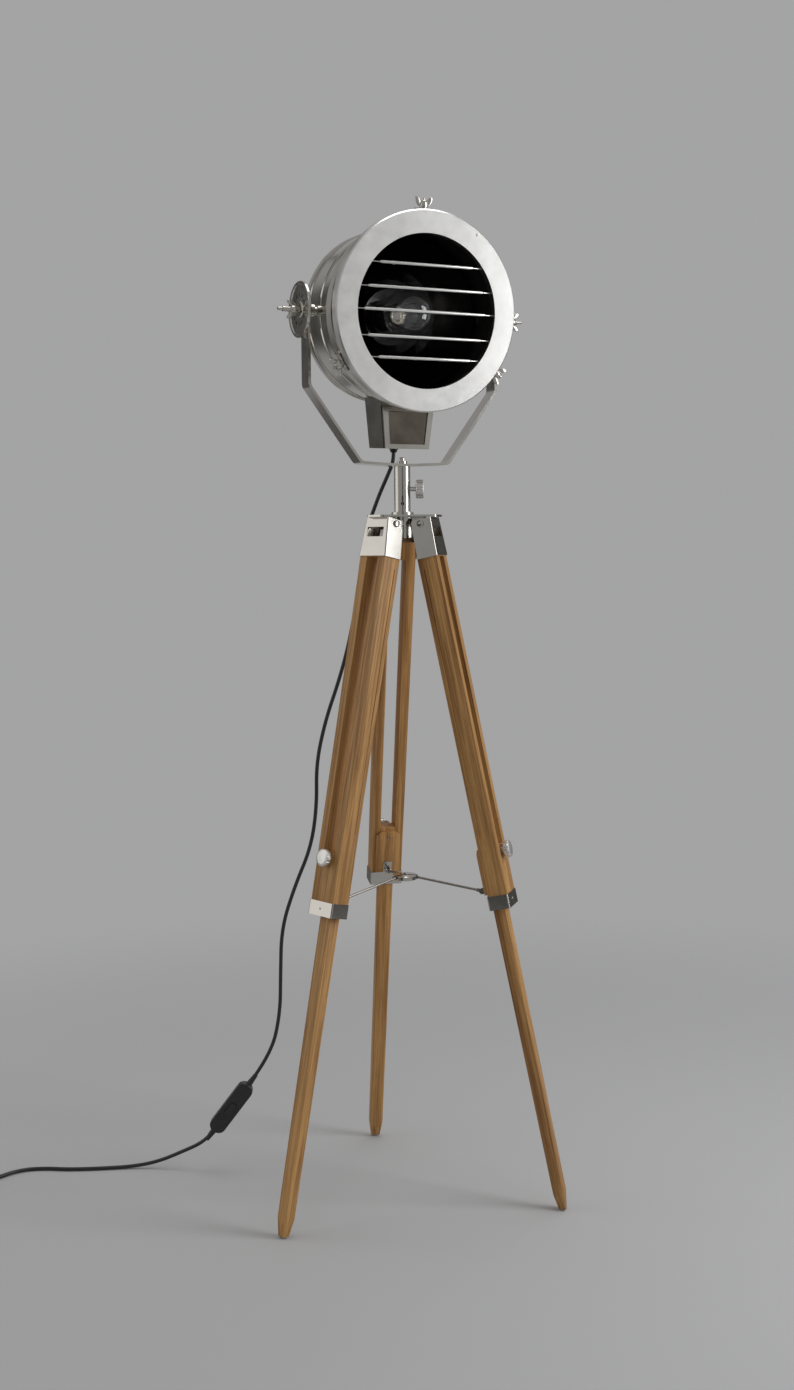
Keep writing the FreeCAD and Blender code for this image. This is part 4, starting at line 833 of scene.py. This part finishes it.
def wire_piece(lines, thickness):
    """Thin round wires along smooth lines, made a mesh."""
    data = bpy.data.curves.new("wire", "CURVE")
    data.dimensions = "3D"
    for line in lines:
        spline = data.splines.new("NURBS")
        spline.points.add(len(line) - 1)
        for target, point in zip(spline.points, line):
            target.co = (point[0], point[1], point[2], 1.0)
        spline.order_u = 3
        spline.use_endpoint_u = True
    data.resolution_u = 3
    data.bevel_depth = thickness
    data.bevel_resolution = 2
    data.use_fill_caps = True
    piece = bpy.data.objects.new("wire", data)
    bpy.context.scene.collection.objects.link(piece)
    only(piece)
    bpy.ops.object.convert(target="MESH")
    return bpy.context.object


def wing_nut():
    """A cast wing nut made upwards: a tapered boss with a bore and two flared, rounded wings."""
    boss = ring_piece([
        (0.0030, 0.0), (0.0058, 0.0), (0.0062, 0.0005), (0.0060, 0.0050), (0.0054, 0.0086),
        (0.0047, 0.0102), (0.0040, 0.0105), (0.0030, 0.0105),
    ], 40)
    pieces = [boss]
    lean = math.radians(27)
    for side in (-1, 1):
        deselect()
        bpy.ops.mesh.primitive_circle_add(vertices=28, radius=1.0, fill_type="NGON")
        wing = bpy.context.object
        wing.scale = (0.0036, 0.0079, 1.0)
        bpy.ops.object.transform_apply(location=False, rotation=False, scale=True)
        apply_modifier(wing, "SOLIDIFY", thickness=0.0024, offset=0.0)
        apply_modifier(
            wing, "BEVEL", width=0.0009, segments=3, limit_method="ANGLE", angle_limit=math.radians(50)
        )
        wing.matrix_world = (
            Matrix.Translation((side * 0.0094, 0, 0.0092)) @ Matrix.Rotation(side * lean, 4, "Y")
            @ Matrix.Rotation(math.radians(90), 4, "X")
        )
        pieces.append(wing)
    for piece in pieces:
        settle(piece)
    return joined(pieces)


class LAMP_OT_nuts(bpy.types.Operator):
    """Puts the wing nuts on the ring's three clamps and on both trunnions"""

    bl_idname = "lamp.nuts"
    bl_label = "Wing nuts"

    def execute(self, context):
        nickel = polished_metal("nut_nickel", context.scene.lamp_colours.nickel, 0.06, 0.16)
        pattern = wing_nut()
        places = {}
        for side, angle in CLAMP_ANGLES.items():
            lift = Matrix.Translation((0, -CLAMP_FORWARD, BAND_RADIUS + CLAMP_NUT_LIFT))
            places[side + "_clamp_nut"] = clock_matrix(angle) @ lift
        for side, sign, out in (("left", -1, LEFT_NUT_OUT), ("right", 1, RIGHT_NUT_OUT)):
            turn = Matrix.Rotation(math.radians(90 * sign), 4, "Y")
            places[side + "_wing_nut"] = head_matrix() @ Matrix.Translation((sign * out, 0, 0)) @ turn
        for node, matrix in places.items():
            nut = copy_of(pattern)
            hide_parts(node)
            finish_piece(nut, node + "_cast", node + "_body", nickel, matrix, 50.0)
        bpy.data.objects.remove(pattern, do_unlink=True)
        return {"FINISHED"}


class LAMP_OT_head_inside(bpy.types.Operator):
    """Lines the drum with a black sheet that paints the shade inside it, rolls its beads, and sets the
    louvre blades and the ring's screw
    """

    bl_idname = "lamp.head_inside"
    bl_label = "Inside of the head"

    def execute(self, context):
        sizes = context.scene.lamp_sizes
        colours = context.scene.lamp_colours
        # Painted shade: a near-black sheet lines the drum's back, its wall and the ring's inner return,
        # which lie in shade.
        black = inner_black("drum_painted_shade_lining")
        inner = [
            (radius - LINING_SKIN, forward + (LINING_SKIN if forward < 0 else 0.0))
            for radius, forward in LINING_OUTLINE
        ]
        lining = ring_piece(LINING_OUTLINE + inner[::-1], sizes.turned_sides)
        finish_piece(lining, "drum_painted_shade_lining", "head", black, drum_matrix())
        nickel = polished_metal("bead_nickel", colours.nickel)
        beads = []
        for forward in DRUM_BEADS:
            beads.append(ring_piece([
                (0.1306, forward - 0.0026), (0.1320, forward - 0.0019), (0.1327, forward),
                (0.1320, forward + 0.0019), (0.1306, forward + 0.0026),
            ], sizes.turned_sides))
        finish_piece(joined(beads), "drum_beads", "head", nickel, drum_matrix())
        satin = brushed_metal("blade_satin", colours.satin, head_matrix(), (0.05, 1, 1), (0.22, 0.32))
        blades = []
        for height in LOUVRE_HEIGHTS:
            half = math.sqrt(RING_OPENING ** 2 - (abs(height) + 0.0009) ** 2) - 0.0002
            flat = rounded_block((2 * half, 0.0078, 0.0012), 0.0004, 2)
            flat.location = (0, 0.0054 - BLADE_FRONT, height)
            bead = turn_piece([
                (0.0, -half + 0.0120), (0.0010, -half + 0.0122), (0.0018, -half + 0.0135),
                (0.00235, -half + 0.0165), (0.00235, half - 0.0165), (0.0018, half - 0.0135),
                (0.0010, half - 0.0122), (0.0, half - 0.0120),
            ], 24)
            place = Matrix.Translation((0, 0.0018 - BLADE_FRONT, height))
            bead.matrix_world = place @ Matrix.Rotation(math.radians(90), 4, "Y")
            blades += [flat, bead]
        for piece in blades:
            settle(piece)
        blade_set = joined(blades)
        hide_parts("louvre_blades")
        finish_piece(blade_set, "louvre_blade_set", "head", satin, head_matrix())
        steel = polished_metal("ring_screw_steel", (0.30, 0.29, 0.27), 0.2, 0.35)
        screw = screw_head(0.0026, 0.0009)
        across = RING_SCREW_RADIUS * math.cos(RING_SCREW_ANGLE)
        up = RING_SCREW_RADIUS * math.sin(RING_SCREW_ANGLE)
        place = drum_matrix() @ Matrix.Translation((across, up, RING_FACE - 0.0007))
        finish_piece(screw, "ring_screw", "head", steel, place)
        return {"FINISHED"}


class LAMP_OT_dial_marks(bpy.types.Operator):
    """Writes plain degree figures round the tilt dial"""

    bl_idname = "lamp.dial_marks"
    bl_label = "Dial figures"

    def execute(self, context):
        ink = black_plastic("dial_ink", (0.016, 0.015, 0.014), (0.4, 0.55), 600.0, 0.05)
        face = head_matrix() @ Matrix.Translation((-DIAL_OUT - DIAL_FACE_THICK, 0, 0))
        face = face @ Matrix.Rotation(math.radians(-90), 4, "Y")
        face = face @ Matrix.Rotation(math.radians(-90), 4, "Z")
        figures = []
        for number in range(DIAL_FIGURES):
            degrees = 360 * number / DIAL_FIGURES
            value = int(min(degrees % 180, 180 - degrees % 180))
            deselect()
            bpy.ops.object.text_add()
            text = bpy.context.object
            text.data.body = str(value)
            text.data.size = DIAL_FIGURE_SIZE
            text.data.extrude = 0.00012
            text.data.align_x = "CENTER"
            text.data.align_y = "CENTER"
            bpy.ops.object.convert(target="MESH")
            text = bpy.context.object
            place = Matrix.Translation((0, DIAL_FIGURE_RADIUS, 0.00014))
            text.matrix_world = Matrix.Rotation(math.radians(-degrees), 4, "Z") @ place
            settle(text)
            figures.append(text)
        finish_piece(joined(figures), "dial_figures", "head", ink, face)
        return {"FINISHED"}


class LAMP_OT_sleeves(bpy.types.Operator):
    """Fits the tapered, ribbed sleeves where the cord meets the switch"""

    bl_idname = "lamp.sleeves"
    bl_label = "Cord sleeves"

    def execute(self, context):
        rubber = black_plastic("sleeve_rubber", context.scene.lamp_colours.cord, (0.35, 0.5), 500.0, 0.2)
        top = [lamp(HANG_STRETCH[-1]), lamp(HANG_STRETCH[-2])]
        low = [lamp(FLOOR_STRETCH[0]), lamp(FLOOR_STRETCH[1])]
        for name, (start, toward) in (("switch_sleeve_top", top), ("switch_sleeve_low", low)):
            piece = ribbed_sleeve(SLEEVE_LENGTH, SLEEVE_WIDE, SLEEVE_NARROW)
            way = (toward - start).normalized()
            turn = way.to_track_quat("Z", "Y").to_matrix().to_4x4()
            finish_piece(piece, name, "stand", rubber, Matrix.Translation(start) @ turn)
        return {"FINISHED"}


def ribbed_sleeve(length, wide, narrow):
    """A tapered sleeve made upwards from its wide end, with a bore for the cord and shallow ribs."""
    ribs = 6
    profile = [(SLEEVE_BORE, 0.0), (wide, 0.0)]
    for number in range(ribs):
        share = number / ribs
        radius = wide + (narrow - wide) * share
        step = length / ribs
        low = length * share
        profile += [
            (radius, low + step * 0.15), (radius, low + step * 0.55),
            (radius - 0.0005, low + step * 0.65), (radius - 0.0005, low + step * 0.9),
        ]
    profile += [(narrow, length), (SLEEVE_BORE, length)]
    return ring_piece(profile, 32)


class LAMP_OT_stage(bpy.types.Operator):
    """Lays the pale floor, hangs the soft studio lights and stands the dark cards"""

    bl_idname = "lamp.stage"
    bl_label = "Stage"

    def execute(self, context):
        colours = context.scene.lamp_colours
        deselect()
        bpy.ops.mesh.primitive_circle_add(
            vertices=96, radius=FLOOR_RADIUS, fill_type="NGON", location=(0, 0, -0.0005)
        )
        floor = context.object
        floor.name = "studio_floor"
        settle(floor)
        dress(floor, self.sweep_material(colours.floor))
        world = bpy.data.worlds.new("studio")
        world.use_nodes = True
        context.scene.world = world
        tree = world.node_tree
        background = tree.nodes["Background"]
        background.inputs["Color"].default_value = colour4(colours.floor)
        path = tree.nodes.new("ShaderNodeLightPath")
        seen = self.seen_by_eye(tree, path)
        level = tree.nodes.new("ShaderNodeMapRange")
        level.inputs["To Min"].default_value = WORLD_LIGHT
        level.inputs["To Max"].default_value = 1.0
        tree.links.new(seen, level.inputs["Value"])
        tree.links.new(level.outputs["Result"], background.inputs["Strength"])
        for light in STUDIO_LIGHTS:
            self.lamp_light(*light)
        for card in DARK_CARDS:
            self.dark_card(*card)
        context.scene.view_settings.view_transform = "Standard"
        return {"FINISHED"}

    def seen_by_eye(self, tree, path):
        """One where the camera, or a reflection or glass in its view, meets the surface."""
        first = tree.nodes.new("ShaderNodeMath")
        first.operation = "MAXIMUM"
        tree.links.new(path.outputs["Is Camera Ray"], first.inputs[0])
        tree.links.new(path.outputs["Is Glossy Ray"], first.inputs[1])
        both = tree.nodes.new("ShaderNodeMath")
        both.operation = "MAXIMUM"
        tree.links.new(first.outputs[0], both.inputs[0])
        tree.links.new(path.outputs["Is Transmission Ray"], both.inputs[1])
        return both.outputs[0]

    def sweep_material(self, colour):
        """The floor, which takes shadows near the lamp and fades into the backdrop further off."""
        nodes = Nodes("studio_floor")
        tone = nodes.noise(nodes.object_coordinates(), 1.2, 2.0, 0.5)
        base = tuple(min(channel * 1.30, 1.0) for channel in colour)
        shade = tuple(channel * 0.985 for channel in base)
        nodes.link(nodes.mix(tone, colour4(shade), colour4(base)), nodes.shader.inputs["Base Color"])
        nodes.shader.inputs["Roughness"].default_value = 0.9
        nodes.shader.inputs["Specular IOR Level"].default_value = 0.1
        tree = nodes.tree
        distance = tree.nodes.new("ShaderNodeVectorMath")
        distance.operation = "LENGTH"
        nodes.link(nodes.object_coordinates(), distance.inputs[0])
        fade = tree.nodes.new("ShaderNodeMapRange")
        fade.interpolation_type = "SMOOTHSTEP"
        fade.inputs["From Min"].default_value = FADE_START
        fade.inputs["From Max"].default_value = FADE_END
        nodes.link(distance.outputs["Value"], fade.inputs["Value"])
        path = tree.nodes.new("ShaderNodeLightPath")
        share = nodes.maths("MULTIPLY", fade.outputs["Result"], self.seen_by_eye(tree, path))
        glow = tree.nodes.new("ShaderNodeEmission")
        glow.inputs["Color"].default_value = colour4(colour)
        blend = tree.nodes.new("ShaderNodeMixShader")
        nodes.link(share, blend.inputs[0])
        nodes.link(nodes.shader.outputs["BSDF"], blend.inputs[1])
        nodes.link(glow.outputs["Emission"], blend.inputs[2])
        nodes.link(blend.outputs["Shader"], tree.nodes["Material Output"].inputs["Surface"])
        return nodes.material

    def dark_card(self, name, place, size, turn, tone):
        """A dark studio card that shows only in the metal, as a streak."""
        deselect()
        bpy.ops.mesh.primitive_plane_add(size=1.0)
        card = bpy.context.object
        card.name = name
        card.scale = (size[0], size[1], 1.0)
        card.rotation_euler = (math.radians(90), 0, math.radians(turn))
        card.location = place
        settle(card)
        nodes = Nodes(name)
        patch = nodes.noise(nodes.object_coordinates(), 3.0, 2.0, 0.5)
        deep, pale = (tone * 0.8, tone * 0.78, tone * 0.74), (tone * 1.2, tone * 1.17, tone * 1.1)
        nodes.link(nodes.mix(patch, colour4(deep), colour4(pale)), nodes.shader.inputs["Base Color"])
        nodes.shader.inputs["Roughness"].default_value = 0.9
        dress(card, nodes.material)
        card.visible_camera = False
        card.visible_diffuse = False
        card.visible_shadow = False
        card.visible_transmission = False

    def lamp_light(self, name, place, size, power, colour):
        data = bpy.data.lights.new(name, "AREA")
        data.shape = "RECTANGLE"
        data.size, data.size_y = size
        data.energy = power
        data.color = colour
        light = bpy.data.objects.new(name, data)
        bpy.context.scene.collection.objects.link(light)
        light.location = place
        aim = Vector((0, 0, 1.0)) - Vector(place)
        light.rotation_euler = aim.to_track_quat("-Z", "Y").to_euler()


class LAMP_PT_panel(bpy.types.Panel):
    """Lists the lamp's sizes, colours and the operators that make its pieces"""

    bl_idname = "LAMP_PT_panel"
    bl_label = "Tripod Lamp"
    bl_space_type = "VIEW_3D"
    bl_region_type = "UI"
    bl_category = "Lamp"

    def draw(self, context):
        layout = self.layout
        for group in (context.scene.lamp_sizes, context.scene.lamp_colours):
            for name in group.__annotations__:
                layout.prop(group, name)
        for operator in OPERATORS:
            layout.operator(operator.bl_idname)


OPERATORS = (
    LAMP_OT_camera, LAMP_OT_sleeves, LAMP_OT_cord, LAMP_OT_finishes, LAMP_OT_wood, LAMP_OT_head_inside,
    LAMP_OT_bulb, LAMP_OT_nuts, LAMP_OT_dial_marks, LAMP_OT_stage,
)
CLASSES = (LampSizes, LampColours) + OPERATORS + (LAMP_PT_panel,)


def register():
    for item in CLASSES:
        bpy.utils.register_class(item)
    bpy.types.Scene.lamp_sizes = PointerProperty(type=LampSizes)
    bpy.types.Scene.lamp_colours = PointerProperty(type=LampColours)


def unregister():
    del bpy.types.Scene.lamp_colours
    del bpy.types.Scene.lamp_sizes
    for item in reversed(CLASSES):
        bpy.utils.unregister_class(item)


def main():
    register()
    bpy.ops.lamp.camera()
    bpy.ops.lamp.sleeves()
    bpy.ops.lamp.cord()
    bpy.ops.lamp.finishes()
    bpy.ops.lamp.wood()
    bpy.ops.lamp.head_inside()
    bpy.ops.lamp.bulb()
    bpy.ops.lamp.nuts()
    bpy.ops.lamp.dial_marks()
    bpy.ops.lamp.stage()


if __name__ == "__main__":
    main()
